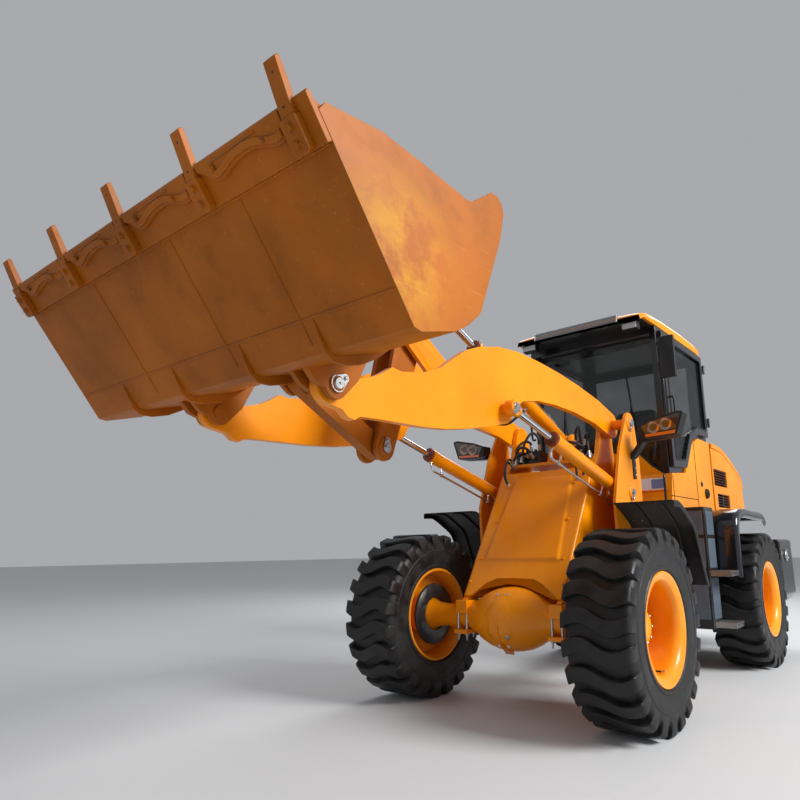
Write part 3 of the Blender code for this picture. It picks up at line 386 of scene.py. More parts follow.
def tyre(end, hand, side):
    """Tread: place = groove + mask(angle - wave(across)) * (bar - groove), swept round the wheel.

    The wave is BAR_WAVE/radius * sin(2 pi v) with v from the inner shoulder to the outer one, and the
    mask is a trapezoid that is 1 on a bar, 0 in a groove and steep between them.
    """
    groove, bar = TREAD
    wall = [(0.328, 0.172), (0.333, 0.186), (0.340, 0.195), (0.348, 0.199), (0.356, 0.199), (0.362, 0.194),
            (0.385, 0.1975), (0.420, 0.2020), (0.452, 0.2035), (0.456, 0.2062), (0.464, 0.2062), (0.468, 0.2035)]
    low = wall + [(0.492, 0.2015), (0.502, 0.1995), (0.512, 0.1970), (0.522, 0.1930), (0.532, 0.187),
                  (0.540, 0.179), (0.546, 0.168), (groove, 0.150)]
    high = wall + [(0.497, 0.2040), (0.503, 0.2068), (0.520, 0.2072), (0.546, 0.2065), (0.566, 0.2030),
                   (0.577, 0.196), (0.583, 0.186), (bar, 0.172)]
    flat = np.linspace(0.84, -0.84, 17)
    low_half, high_half = np.array(low), np.array(high)
    middle_low = np.stack((np.full(17, groove), flat * 0.168), -1)
    middle_high = np.stack((np.full(17, bar), flat * 0.186), -1)
    other = np.array((1, -1))
    inner = section([(0.328, -0.172), (0.322, -0.160), (0.322, 0.160), (0.328, 0.172)], 5)[1:-1]
    low_ring = np.concatenate((low_half, middle_low, low_half[::-1] * other, inner))
    high_ring = np.concatenate((high_half, middle_high, high_half[::-1] * other, inner))
    step = np.array((0.00, 0.12, 0.20, 0.225, 0.250, 0.38, 0.50, 0.62, 0.750, 0.775, 0.800, 0.90))
    mask = np.array((0.00, 0.00, 0.00, 0.86, 1.00, 1.00, 1.00, 1.00, 1.00, 0.86, 0.00, 0.00))
    pitch = 2 * np.pi / LUGS
    angle = (np.arange(LUGS)[:, None] * pitch + step[None] * pitch).reshape(-1)
    share = np.tile(mask, LUGS)[:, None, None]
    ring = low_ring[None] + share * (high_ring - low_ring)[None]
    across = ring[..., 1]
    wave = BAR_WAVE / bar * np.sin(np.pi * np.clip(across / 0.19, -1, 1) + np.pi)
    tread = np.clip((ring[..., 0] - 0.47) / 0.05, 0, 1)
    turn = angle[:, None] + wave * tread
    centre = PIVOT[f"wheel_{end}_{hand}"]
    grid = np.stack((ring[..., 0] * np.cos(turn), side * across, ring[..., 0] * np.sin(turn)), -1) + centre
    item = piece(f"{end}_{hand}_tyre", [grid_shape(grid, round_rows=True, round_columns=True)], tyre_rubber,
                 f"wheel_{end}_{hand}", smooth=28)
    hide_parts(f"tyre_{end}_{hand}")


for end in ("front", "rear"):
    for hand, side in HANDS:
        tyre(end, hand, side)

# ---------------------------------------------------------------- rims
# A rim is a rolled steel barrel with a thick lock ring at its outer edge and a dished disc welded
# inboard, held by ten studs. It is sprayed in one coat, so the paint is even and fairly glossy.

rim_paint = enamel("rim_enamel", "#F59A0C", "#E98A08", "#7E6444", "#8A6A3A", 0.34, 0.22, 0.5, 0.3)


def rim(end, hand, side):
    """Barrel, flanges and disc turned about the wheel's axis, with nuts, hub cap and valve."""
    centre = PIVOT[f"wheel_{end}_{hand}"]
    axis = (0, side, 0)
    barrel = [(0.262, 0.150), (0.276, 0.172), (0.286, 0.181), (0.306, 0.186), (0.318, 0.193), (0.326, 0.193),
              (0.330, 0.187), (0.327, 0.176), (0.318, 0.168), (0.316, 0.150), (0.306, 0.060), (0.306, -0.110),
              (0.316, -0.150), (0.318, -0.168), (0.327, -0.176), (0.330, -0.187), (0.324, -0.193),
              (0.314, -0.190), (0.306, -0.174), (0.294, -0.150), (0.288, -0.110), (0.288, -0.048),
              (0.276, 0.020), (0.263, 0.090), (0.259, 0.130)]
    disc = [(0.0, -0.018), (0.110, -0.018), (0.150, -0.022), (0.205, -0.026), (0.240, -0.040), (0.290, -0.046),
            (0.290, -0.030), (0.244, -0.022), (0.208, -0.004), (0.0, -0.003)]
    cap = [(0.112, -0.004), (0.114, 0.030), (0.108, 0.052), (0.088, 0.066), (0.060, 0.070), (0.056, 0.074),
           (0.0, 0.076)]
    item = piece(f"{end}_{hand}_rim", [lathe(barrel, centre, axis, 72, closed=True), lathe(disc, centre, axis, 64),
                                       lathe(cap, centre, axis, 40)],
                 rim_paint, f"wheel_{end}_{hand}", smooth=35)
    nuts = []
    for turn in np.linspace(0, 2 * np.pi, 10, endpoint=False):
        spot = centre + np.array((0.168 * np.cos(turn), -side * 0.004, 0.168 * np.sin(turn)))
        nuts += bolt(spot, axis, 0.019, 0.030)
    for turn in np.linspace(0, 2 * np.pi, 8, endpoint=False):
        spot = centre + np.array((0.086 * np.cos(turn), side * 0.066, 0.086 * np.sin(turn)))
        nuts += bolt(spot, axis, 0.010)
    nuts.append(lathe([(0.004, 0), (0.004, 0.012), (0.006, 0.014), (0.006, 0.030)],
                      centre + np.array((-0.03, side * 0.120, -0.246)), (0.05, side, 0.1), 10))
    piece(f"{end}_{hand}_wheel_nuts", nuts, zinc, f"wheel_{end}_{hand}")
    hose = lathe([(0.0055, 0), (0.0055, 0.126)], centre + np.array((-0.030, 0, -0.250)),
                 (0.0, side, 0.03), 10)
    piece(f"{end}_{hand}_valve_hose", [hose], tyre_rubber, f"wheel_{end}_{hand}")
    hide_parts(f"rim_{end}_{hand}")


for end in ("front", "rear"):
    for hand, side in HANDS:
        rim(end, hand, side)

# ---------------------------------------------------------------- front frame
# The front frame is two thick side plates with towers outboard of them, welded to a deck. Its
# leaning front is closed by a pressed steel cover that is held by eight bolts.

TOWER = (0.568, 0.592)
for node in ("front_frame", "tower_left", "tower_right"):
    refined(node, 0.004, amber, "front_frame")


def at(x, y, z):
    """A place counted from the front axle, the machine's middle and the ground."""
    return np.array((AXLE_X + x, y, z))


def route(side, *places):
    """Places on one side of the machine, each given as it lies on the left."""
    return [at(x, side * y, z) for x, y, z in places]


def side_block(side, low, high):
    """A box on one side of the machine, its corners given as they lie on the left."""
    (x0, y0, z0), (x1, y1, z1) = low, high
    near, far = sorted((side * y0, side * y1))
    return block(at(x0, near, z0), at(x1, far, z1))


def side_slab(outline, side, near, far):
    """An outline (x, z) seen from the side, carried across one side of the machine."""
    return slab([(AXLE_X + x, z) for x, z in outline], "Y", *sorted((side * near, side * far)))


def curve_through(points, steps=10):
    """Catmull-Rom curve: each span is a cubic whose end slopes are half the chord of its neighbours."""
    p = np.array(points, float)
    padded = np.vstack((2 * p[0] - p[1], p, 2 * p[-1] - p[-2]))
    a, b, c, d = padded[:-3, None], padded[1:-2, None], padded[2:-1, None], padded[3:, None]
    t = np.linspace(0, 1, steps, endpoint=False)[None, :, None]
    spans = 0.5 * (2 * b + (c - a) * t + (2 * a - 5 * b + 4 * c - d) * t ** 2 + (3 * b - a - 3 * c + d) * t ** 3)
    return np.vstack((spans.reshape(-1, 3), p[-1:]))


def tube(points, radius, sides=12, smooth=True, ripple=0.0, waves=0.0):
    """A round section carried along a path; ripple swells and pinches it, as a weld bead does.

    The ring at each place lies square to the path; its sides come from the normal of the plane
    that the path lies nearest to. Radius = radius * (1 + ripple * |sin(pi * waves * s)|).
    """
    path = curve_through(points) if smooth else np.array(points, float)
    ahead = np.gradient(path, axis=0)
    ahead /= np.linalg.norm(ahead, axis=1)[:, None]
    flat = np.linalg.svd(path - path.mean(0), full_matrices=True)[2][-1]
    side = np.cross(ahead, flat)
    side /= np.linalg.norm(side, axis=1)[:, None]
    up = np.cross(side, ahead)
    angle = np.linspace(0, 2 * np.pi, sides, endpoint=False)
    share = np.linspace(0, 1, len(path))
    radii = radius * (1 + ripple * np.abs(np.sin(np.pi * waves * share)))
    ring = np.cos(angle)[None, :, None] * side[:, None] + np.sin(angle)[None, :, None] * up[:, None]
    return grid_shape(path[:, None] + radii[:, None, None] * ring, round_columns=True, capped=True)


def bead(start, end, radius=0.006):
    """A straight weld bead with a ripple every 8 mm."""
    start, end = np.array(start, float), np.array(end, float)
    count = max(int(np.linalg.norm(end - start) / 0.004), 8)
    path = start + np.linspace(0, 1, count)[:, None] * (end - start)
    return tube(path, radius, 8, smooth=False, ripple=0.25, waves=count / 2)


COVER_TOP, COVER_FOOT = np.array((-0.535, 1.640)), np.array((0.035, 0.720))
COVER_DOWN = (COVER_FOOT - COVER_TOP) / np.linalg.norm(COVER_FOOT - COVER_TOP)
COVER_OUT = np.array((-COVER_DOWN[1], COVER_DOWN[0]))
if COVER_OUT[0] < 0:
    COVER_OUT = -COVER_OUT


def cover_place(down, y, lift):
    """A place on the leaning cover: distance down from its top edge, across, and out of its face."""
    x, z = COVER_TOP + COVER_DOWN * down + COVER_OUT * (0.0143 + lift)
    return at(x, y, z)


def cover_pressing():
    """Pressed cover: lift = 11 mm * smoothstep of the distance inside the embossed outline.

    Rows run down the slope and stop at an arch over the axle; the outline narrows upwards, and
    the side edges roll back. The back face is the front one moved in by the sheet's thickness.
    """
    across = np.linspace(-0.395, 0.395, 81)
    foot = np.interp(np.abs(across), [0, 0.150, 0.232, 0.300, 0.326, 0.3261],
                     [0.846, 0.842, 0.810, 0.742, 0.716, 0])
    length = np.linalg.norm(COVER_FOOT - COVER_TOP)
    lowest = np.clip((COVER_TOP[1] - foot) / -COVER_DOWN[1], 0, length - 0.004)
    down = np.linspace(0.004, 1, 90)[:, None] * lowest[None]
    y = np.broadcast_to(across, down.shape)
    room = np.stack((0.250 + 0.075 * down - np.abs(y), down - 0.07, 0.80 - down), 0).min(0)
    raised = np.clip(room / 0.016, 0, 1)
    rolled = np.clip((0.395 - np.abs(y)) / 0.012, 0, 1)
    lift = 0.011 * raised ** 2 * (3 - 2 * raised) - 0.006 * (1 - rolled) ** 2
    flat = COVER_TOP + COVER_DOWN * down[..., None] + COVER_OUT * (0.0143 + lift[..., None])
    face = np.stack((AXLE_X + flat[..., 0], y, flat[..., 1]), -1)
    back = face - 0.010 * np.array((COVER_OUT[0], 0, COVER_OUT[1]))
    return grid_shape(np.concatenate((face, back[:, ::-1]), axis=1), round_columns=True, capped=True)


cover = piece("front_cover_pressing", [cover_pressing()], amber, "front_frame", smooth=60)
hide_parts("front_cover")

cover_bolts = []
for down, wide in ((0.14, 0.285), (0.46, 0.300), (0.78, 0.335), (0.97, 0.372)):
    for side in (1, -1):
        cover_bolts += bolt(cover_place(down, side * wide, -0.001), (COVER_OUT[0], 0, COVER_OUT[1]), 0.013)
piece("front_cover_bolts", cover_bolts, amber, "front_frame")

# ---------------------------------------------------------------- tower fittings
# Each tower carries the boom pin and the lift cylinder's pin. A flat zinc-plated keeper with one
# bolt locks each pin, and the tower plates are joined with hand-run weld beads.


def keeper(x, z, face, side, turn, length=0.085, width=0.034, tip=1.0):
    """A plate over a pin's end: two half circles joined, the far one tip times as wide, with its bolt."""
    angle = np.linspace(-np.pi / 2, np.pi / 2, 9)
    reach = length - width
    right = np.stack((reach + tip * width / 2 * np.cos(angle), tip * width / 2 * np.sin(angle)), -1)
    left = np.stack((-width / 2 * np.cos(angle), -width / 2 * np.sin(angle)), -1)
    outline = np.vstack((right, left))
    spin = np.array(((np.cos(turn), np.sin(turn)), (-np.sin(turn), np.cos(turn))))
    outline = outline @ spin + (AXLE_X + x, z)
    low, high = sorted((side * face, side * (face + 0.006)))
    end = np.array((reach, 0)) @ spin + (AXLE_X + x, z)
    return [slab(outline, "Y", low, high)] + bolt((end[0], side * (face + 0.006), end[1]), (0, side, 0), 0.011)


def pin_head(x, z, face, side, radius):
    """A turned pin end, 10 mm proud, with a chamfer and a centre hole's dimple."""
    profile = [(radius, -0.004), (radius, 0.006), (radius * 0.9, 0.010), (radius * 0.22, 0.010),
               (radius * 0.14, 0.004), (0.0, 0.004)]
    return lathe(profile, (AXLE_X + x, side * face, z), (0, side, 0), 28)


def boss(x, z, low, high, side, radius, hole):
    """A turned ring welded round a pin hole, with chamfered rims."""
    profile = [(hole, low), (hole, high), (radius - 0.006, high), (radius, high - 0.006), (radius, low)]
    return lathe(profile, (AXLE_X + x, 0, z), (0, side, 0), 40, closed=True)


keepers, bosses, beads = [], [], []
for hand, side in HANDS:
    for joint, turn, ring, hole, pin in (("boom", -1.1, 0.066, 0.030, 0.032),
                                         ("lift_swing_left", -1.2, 0.056, 0.026, 0.026)):
        x, _, z = PIVOT[joint] - (AXLE_X, 0, 0)
        bosses.append(boss(x, z, TOWER[1] - 0.002, TOWER[1] + 0.009, side, ring, hole))
        keepers += keeper(x, z, TOWER[1] + 0.010, side, turn)
        keepers.append(pin_head(x, z, TOWER[1] + 0.012, side, pin))
    for out in (TOWER[0] - 0.002, 0.397):
        beads.append(bead(*route(side, (-0.951, out, 1.10), (-0.925, out, 1.68))))
        beads.append(bead(*route(side, (-0.945, out, 1.067), (-0.49, out, 1.067))))
    beads.append(bead(*route(side, (-0.880, 0.358, 1.727), (-0.62, 0.358, 1.727))))
piece("tower_bosses", bosses, amber, "front_frame")
piece("tower_keepers", keepers, zinc, "front_frame")
piece("frame_weld_beads", beads, amber, "front_frame", smooth=60)

# ---------------------------------------------------------------- front fenders
# A front fender is moulded black polyethylene, 5 mm thick, with a rolled lip round its edge; two
# angle brackets bolt it to the tower. Moulded plastic is matt with a very fine grain.


def moulded_plastic():
    """Black polyethylene straight from the mould: matt, 1 mm grain, a grey film of dust on top."""
    material, tree, shader = new_material("moulded_black_plastic", Specular_IOR_Level=0.4)
    place = add(tree, "TexCoord")
    cloud = add(tree, "TexNoise", {"Vector": (place, "Object")}, {"Scale": 5.0, "Detail": 8.0})
    film = add(tree, "MapRange", {"Value": (cloud, "Fac")}, {"From Min": 0.42, "From Max": 0.80})
    tone = add(tree, "Mix", {FACTOR: (film, 0)}, {FIRST: linear("#0F1012"), SECOND: linear("#2C2B2A")},
               data_type="RGBA")
    tree.links.new(tone.outputs[MIXED], shader.inputs["Base Color"])
    matt = add(tree, "MapRange", {"Value": (cloud, "Fac")}, {"To Min": 0.38, "To Max": 0.62})
    tree.links.new(matt.outputs[0], shader.inputs["Roughness"])
    grain = add(tree, "TexNoise", {"Vector": (place, "Object")}, {"Scale": 500.0, "Detail": 1.0})
    rise = add(tree, "Bump", {"Height": (grain, "Fac")}, {"Strength": 0.12, "Distance": 0.001})
    tree.links.new(rise.outputs[0], shader.inputs["Normal"])
    return material


black_plastic = moulded_plastic()


def bent_sheet(line, inner, outer, thick, lip, side, steps=8):
    """A sheet bent along a side-view line: rows follow the curve, columns run from inner to outer.

    A lip turns down at the outer edge through a quarter circle; the underside is the same grid
    moved in by the thickness along the sheet's own normal.
    """
    path = curve_through([(x, 0, z) for x, z in line], steps)[:, (0, 2)]
    ahead = np.gradient(path, axis=0)
    ahead /= np.linalg.norm(ahead, axis=1)[:, None]
    out = np.stack((-ahead[:, 1], ahead[:, 0]), -1)
    if out[:, 1].mean() < 0:
        out = -out
    bend = np.linspace(0, np.pi / 2, 6)[1:]
    across = np.concatenate((np.linspace(inner, outer - lip, 10), outer - lip + lip * np.sin(bend)))
    drop = np.concatenate((np.zeros(10), lip * (1 - np.cos(bend))))
    across, drop = np.append(across, outer), np.append(drop, lip * 2.2)

    def layer(move, inset):
        """The sheet's grid, moved in along its own normal, with its outer edge inset."""
        wide = np.minimum(across, outer - inset)
        flat = path[:, None] - out[:, None] * (drop[None, :, None] + move)
        return np.stack((AXLE_X + flat[..., 0], np.broadcast_to(side * wide, flat.shape[:2]), flat[..., 1]), -1)

    return grid_shape(np.concatenate((layer(0, 0), layer(thick, thick)[:, ::-1]), 1), round_columns=True,
                      capped=True)


FRONT_FENDER = [(-0.292, 1.352), (-0.360, 1.355), (-0.430, 1.348), (-0.560, 1.286), (-0.688, 1.206),
                (-0.760, 1.080), (-0.820, 0.950), (-0.897, 0.792)]
for hand, side in HANDS:
    sheet = bent_sheet(FRONT_FENDER, TOWER[1] + 0.001, 1.049, 0.006, 0.018, side)
    ribs = [tube(route(side, *((x + 0.010, y, z - 0.010) for x, z in FRONT_FENDER)), 0.009, 8)
            for y in (0.74, 0.92)]
    item = piece(f"{hand}_front_fender", [sheet] + ribs, black_plastic, "front_frame", smooth=45)
    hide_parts(f"front_fender_{hand}")
    heads = []
    for y in (0.640, 0.700):
        for x, z in ((-0.470, 1.331), (-0.640, 1.239)):
            heads += bolt(at(x, side * y, z + 0.004), (0.4, 0, 1), 0.012)
    piece(f"{hand}_front_fender_bolts", heads, zinc, "front_frame")

# ---------------------------------------------------------------- headlights
# A headlight is a moulded wedge: black shell, two bright bowls behind a smoked cover, and an orange
# indicator strip under them. A bent black steel bracket holds it out from the tower.


def lens(name, tint, roughness=0.04):
    """Clear or coloured lamp plastic: a glossy thin cover over what lies behind it."""
    return new_material(name, Base_Color=linear(tint), Roughness=roughness, IOR=1.49, Coat_Weight=1.0,
                        Coat_Roughness=0.03)[0]


clear_lens = lens("clear_lamp_cover", "#9EA3A8")
smoked_lens = lens("smoked_lamp_cover", "#33241C")
orange_lens = lens("orange_indicator_lens", "#D9641E", 0.15)
red_lens = lens("red_tail_lens", "#A81A12", 0.15)
reflector, _, _ = new_material("lamp_reflector", Base_Color=linear("#A98A78"), Metallic=1.0, Roughness=0.10)

# The lamp's outlines, seen from in front: distance out from the machine's middle and height.
SHELL = [(0.692, 1.934), (0.800, 1.972), (0.985, 2.012), (1.020, 2.008), (1.028, 1.996), (0.978, 1.848),
         (0.960, 1.840), (0.742, 1.836), (0.700, 1.850)]
GLASS = [(0.715, 1.928), (0.805, 1.958), (0.985, 1.996), (1.008, 1.990), (0.972, 1.884), (0.745, 1.872)]
STRIP = [(0.745, 1.866), (0.970, 1.876), (0.962, 1.850), (0.748, 1.844)]
BRACKET = [(0.594, 1.705), (0.594, 1.745), (0.680, 1.850), (0.960, 1.858), (0.960, 1.840), (0.700, 1.826),
           (0.620, 1.720)]
LAMP_BACK, LAMP_FRONT = -0.800, -0.692


def facing_slab(side, outline, back, front):
    """An outline seen from in front, on one side of the machine, carried from back to front."""
    return slab([(side * y, z) for y, z in outline], "X", AXLE_X + back, AXLE_X + front)


for hand, side in HANDS:
    body = [facing_slab(side, SHELL, LAMP_BACK, LAMP_FRONT), facing_slab(side, BRACKET, -0.845, -0.765),
            side_block(side, (-0.845, 0.5925, 1.560), (-0.795, 0.6025, 1.740))]
    item = piece(f"{hand}_headlight_shell", body, black_plastic, "front_frame", bevel=0.004)
    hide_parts(f"headlight_{hand}")
    for name, outline, plastic in (("headlight_cover", GLASS, smoked_lens),
                                   ("indicator_strip", STRIP, orange_lens)):
        piece(f"{hand}_{name}", [facing_slab(side, outline, LAMP_FRONT - 0.004, LAMP_FRONT + 0.001)], plastic,
              "front_frame", bevel=0.002)
    bowls = [lathe([(0.040, 0.0), (0.046, 0.004), (0.046, 0.007), (0.036, 0.006), (0.020, -0.004), (0.0, -0.006)],
                   at(LAMP_FRONT, side * y, z), (1, 0, 0), 28) for y, z in ((0.900, 1.926), (0.810, 1.912))]
    piece(f"{hand}_headlight_bowls", bowls, reflector, "front_frame", smooth=60)
    heads = []
    for z in (1.585, 1.640, 1.700):
        heads += bolt(at(-0.820, side * 0.6027, z), (0, side, 0), 0.010)
    for y in (0.74, 0.90):
        heads += bolt(at(-0.803, side * y, 1.848), (0, 0, -1), 0.009)
    piece(f"{hand}_headlight_bolts", heads, zinc, "front_frame")

# ---------------------------------------------------------------- boom
# The two boom arms are flame-cut from 45 mm plate and joined by a cross tube, with turned bosses
# welded round every pin hole. Their top edge is bowed so that the driver sees the bucket.

BOOM = PIVOT["boom"] - (AXLE_X, 0, 0)
BUCKET = PIVOT["bucket"] - (AXLE_X, 0, 0)
ROCKER = PIVOT["tilt"] - (AXLE_X, 0, 0)
ARM = (0.405, 0.450)
LIFT_EYE = (0.750, 1.860)
for hand, side in HANDS:
    refined(f"boom_arm_{hand}", 0.005, amber, "boom", segments=3)
refined("boom_crossmember", 0.003, amber, "boom")
rings, seams = [], []
for hand, side in HANDS:
    rings += [boss(BUCKET[0], BUCKET[2], ARM[1], 0.455, side, 0.062, 0.037),
              boss(BOOM[0], BOOM[2], ARM[1], 0.4545, side, 0.074, 0.041),
              boss(BUCKET[0], BUCKET[2], ARM[0] - 0.006, ARM[0], side, 0.062, 0.037)]
    # The lift cylinder's pin is welded into the arm's lower corner and ends in a zinc keeper.
    eye = [(0.030, ARM[0] - 0.012), (0.034, ARM[0] - 0.008), (0.034, ARM[1] + 0.030), (0.0, ARM[1] + 0.030)]
    rings.append(lathe([(0.0, ARM[0] - 0.012)] + eye, (AXLE_X + LIFT_EYE[0], 0, LIFT_EYE[1]), (0, side, 0), 28))
    ring = np.linspace(0, 2 * np.pi, 49)[:-1]
    path = np.stack((AXLE_X + 0.800 + 0.087 * np.cos(ring), np.full(48, side * (ARM[0] - 0.003)),
                     2.030 + 0.087 * np.sin(ring)), -1)
    seams.append(tube(np.vstack((path, path[:1])), 0.006, 8, smooth=False, ripple=0.25, waves=36))
piece("boom_bosses", rings, amber, "boom")
piece("boom_weld_beads", seams, amber, "boom", smooth=60)
ends = []
for side in (1, -1):
    ends.append(pin_head(ROCKER[0], ROCKER[2], 0.131, side, 0.027))
    ends += keeper(ROCKER[0], ROCKER[2], 0.1325, side, 2.4, length=0.070, width=0.030)
piece("rocker_pin_ends", ends, zinc, "boom")

# ---------------------------------------------------------------- rocker and link
# The rocker is a pair of flame-cut cheeks on a turned hub, and the link is a single thick bar. Both
# are sprayed with the bucket in a deeper orange.

FLOOR = np.radians(52.7)


def bucket_enamel():
    """Deep orange enamel on plate: brush-wide patches, brown soot in patches, bare scratches.

    Scratches are long thin noise cells: the vector is squeezed 30 times along the floor's slope,
    so that a mark is 2 to 4 mm wide and some 80 mm long.
    """
    material, tree, shader = new_material("bucket_enamel", Specular_IOR_Level=0.22)
    place = add(tree, "TexCoord")
    broad = add(tree, "TexNoise", {"Vector": (place, "Object")}, {"Scale": 1.6, "Detail": 6.0, "Roughness": 0.62})
    share = add(tree, "MapRange", {"Value": (broad, "Fac")}, {"From Min": 0.36, "From Max": 0.68})
    tone = add(tree, "Mix", {FACTOR: (share, 0)}, {FIRST: linear("#B36209"), SECOND: linear("#955008")},
               data_type="RGBA")
    blot = add(tree, "TexNoise", {"Vector": (place, "Object")}, {"Scale": 6.5, "Detail": 9.0, "Roughness": 0.7})
    stain = add(tree, "MapRange", {"Value": (blot, "Fac")}, {"From Min": 0.52, "From Max": 0.74, "To Max": 0.55})
    dirty = add(tree, "Mix", {FACTOR: (stain, 0), FIRST: (tone, MIXED)}, {SECOND: linear("#7A4710")},
                data_type="RGBA")
    along = add(tree, "Mapping", {"Vector": (place, "Object")},
                {"Rotation": (0.0, FLOOR, 0.0), "Scale": (3.0, 90.0, 90.0)})
    marks = add(tree, "TexNoise", {"Vector": (along, 0)}, {"Scale": 1.0, "Detail": 4.0})
    thin = add(tree, "MapRange", {"Value": (marks, "Fac")}, {"From Min": 0.66, "From Max": 0.72, "To Max": 0.5})
    scratched = add(tree, "Mix", {FACTOR: (thin, 0), FIRST: (dirty, MIXED)}, {SECOND: linear("#CC8C36")},
                    data_type="RGBA")
    # Yellow overspray from the boom's coat: on the outer side plates, fading 0.34 m from the heel.
    flat = add(tree, "VectorMath", {0: (place, "Object")}, {1: (1.0, 0.0, 1.0)}, operation="MULTIPLY")
    away = add(tree, "VectorMath", {0: (flat, 0)}, {1: (AXLE_X + 2.42, 0.0, 2.02)}, operation="DISTANCE")
    near = add(tree, "MapRange", {"Value": (away, "Value")}, {"From Min": 0.34, "From Max": 0.12, "To Max": 0.55})
    across = add(tree, "SeparateXYZ", {"Vector": (place, "Object")})
    wide = add(tree, "Math", {0: (across, "Y")}, operation="ABSOLUTE")
    outer = add(tree, "Math", {0: (wide, 0)}, {1: 1.1425}, operation="GREATER_THAN")
    cloud = add(tree, "MapRange", {"Value": (blot, "Fac")}, {"From Min": 0.40, "From Max": 0.58})
    mist = add(tree, "Math", {0: (near, 0), 1: (outer, 0)}, operation="MULTIPLY")
    misted = add(tree, "Math", {0: (mist, 0), 1: (cloud, 0)}, operation="MULTIPLY")
    sprayed = add(tree, "Mix", {FACTOR: (misted, 0), FIRST: (scratched, MIXED)}, {SECOND: linear("#D89A12")},
                  data_type="RGBA")
    final = chipped_edges(tree, place, sprayed, "#6B5A48", 34.0, 0.60, 0.7)
    tree.links.new(final.outputs[MIXED], shader.inputs["Base Color"])
    matt = add(tree, "MapRange", {"Value": (blot, "Fac")}, {"To Min": 0.34, "To Max": 0.62})
    tree.links.new(matt.outputs[0], shader.inputs["Roughness"])
    dent = add(tree, "TexNoise", {"Vector": (place, "Object")}, {"Scale": 5.0, "Detail": 2.0})
    rise = add(tree, "Bump", {"Height": (dent, "Fac")}, {"Strength": 0.10, "Distance": 0.02})
    tree.links.new(rise.outputs[0], shader.inputs["Normal"])
    return material


bucket_orange = bucket_enamel()
refined("rocker", 0.004, bucket_orange, "rocker")
refined("bucket_link", 0.005, bucket_orange, "bucket_link")
LOW = PIVOT["link"] - (AXLE_X, 0, 0)
LINK_FRONT = (1.900, 1.880)
hubs = [boss(LOW[0], LOW[2], 0.036, 0.0465, side, 0.052, 0.031) for side in (1, -1)]
hubs += [boss(LINK_FRONT[0], LINK_FRONT[1], -0.042, 0.042, 1, 0.052, 0.030)]
piece("link_bosses", hubs, bucket_orange, "bucket_link")
caps, rocker_rings = [], []
for side in (1, -1):
    caps.append(pin_head(LOW[0], LOW[2], 0.095, side, 0.021))
    caps += keeper(LOW[0], LOW[2], 0.0905, side, 1.6, length=0.100, width=0.060, tip=0.6)
    rocker_rings.append(boss(LOW[0], LOW[2], 0.077, 0.088, side, 0.052, 0.024))
    rocker_rings.append(boss(1.080, 2.700, 0.077, 0.092, side, 0.048, 0.0))
piece("rocker_pin_keepers", caps, zinc, "rocker")
piece("rocker_bosses", rocker_rings, bucket_orange, "rocker")

# ---------------------------------------------------------------- bucket
# The bucket is rolled from one plate, with a side plate welded into each end and hinge brackets
# behind. Wear plates, side cutters, five bolted teeth and four edge protectors take the digging.

HEEL = np.array((2.360, 1.790))
ALONG = np.array((np.cos(FLOOR), np.sin(FLOOR)))
OUT = np.array((-np.sin(FLOOR), np.cos(FLOOR)))
BUCKET_HALF = 1.144
refined("bucket_shell", 0.004, bucket_orange, "bucket", segments=2)


def in_bucket(a, y, b):
    """A place in the bucket's own view: a along its floor from the heel, b square to the floor."""
    x, z = HEEL + ALONG * a + OUT * b
    return at(x, y, z)


def bucket_slab(outline, low, high):
    """An outline drawn in the bucket's own view and carried across it."""
    flat = np.array(outline)
    places = HEEL + flat[:, :1] * ALONG + flat[:, 1:] * OUT
    return slab(places + (AXLE_X, 0), "Y", low, high)


def floor_plate(outline, low, high):
    """An outline (along the floor, across the bucket) raised square to the floor from low to high."""
    flat = np.array(outline, float)
    rows = []
    for level in (low, high):
        side = HEEL + flat[:, :1] * ALONG + level * OUT
        rows.append(np.stack((AXLE_X + side[:, 0], flat[:, 1], side[:, 1]), -1))
    return grid_shape(np.array(rows), round_columns=True, capped=True)


seams = [bead(in_bucket(0.03, y, -0.0085), in_bucket(0.59, y, -0.0085), 0.004) for y in (-0.47, 0.19, 0.66)]
seams.append(bead(in_bucket(0.130, -1.13, -0.0085), in_bucket(0.130, 1.13, -0.0085), 0.004))
seams.append(bead(in_bucket(0.602, -1.13, -0.010), in_bucket(0.602, 1.13, -0.010), 0.005))
for side in (1, -1):
    inside = [(0.00, 0.012), (0.25, 0.012), (0.60, 0.012)]
    seams.append(tube([in_bucket(a, side * (BUCKET_HALF - 0.021), b) for a, b in inside], 0.006, 8))
    back = [(-0.024, 0.030), (-0.099, 0.212), (-0.107, 0.300), (-0.101, 0.390), (0.090, 0.730), (0.170, 0.845)]
    seams.append(tube([in_bucket(a, side * (BUCKET_HALF - 0.021), b) for a, b in back], 0.006, 8))
piece("bucket_weld_beads", seams, bucket_orange, "bucket", smooth=60)

plates = []
for side in (1, -1):
    cutter = [(0.752, -0.008), (0.700, 0.055), (0.610, 0.232), (0.470, 0.396), (0.300, 0.590), (0.270, 0.560),
              (0.420, 0.370), (0.545, 0.215), (0.620, 0.060), (0.640, -0.008)]
    low, high = sorted((side * (BUCKET_HALF - 0.036), side * (BUCKET_HALF - 0.020)))
    plates.append(bucket_slab(cutter, low, high))
for y in np.linspace(-0.78, 0.78, 4):
    plates.append(floor_plate([(0.04, y - 0.045), (0.56, y - 0.045), (0.56, y + 0.045), (0.04, y + 0.045)], 0.0075,
                              0.016))
piece("bucket_inner_plates", plates, bucket_orange, "bucket", bevel=0.003)

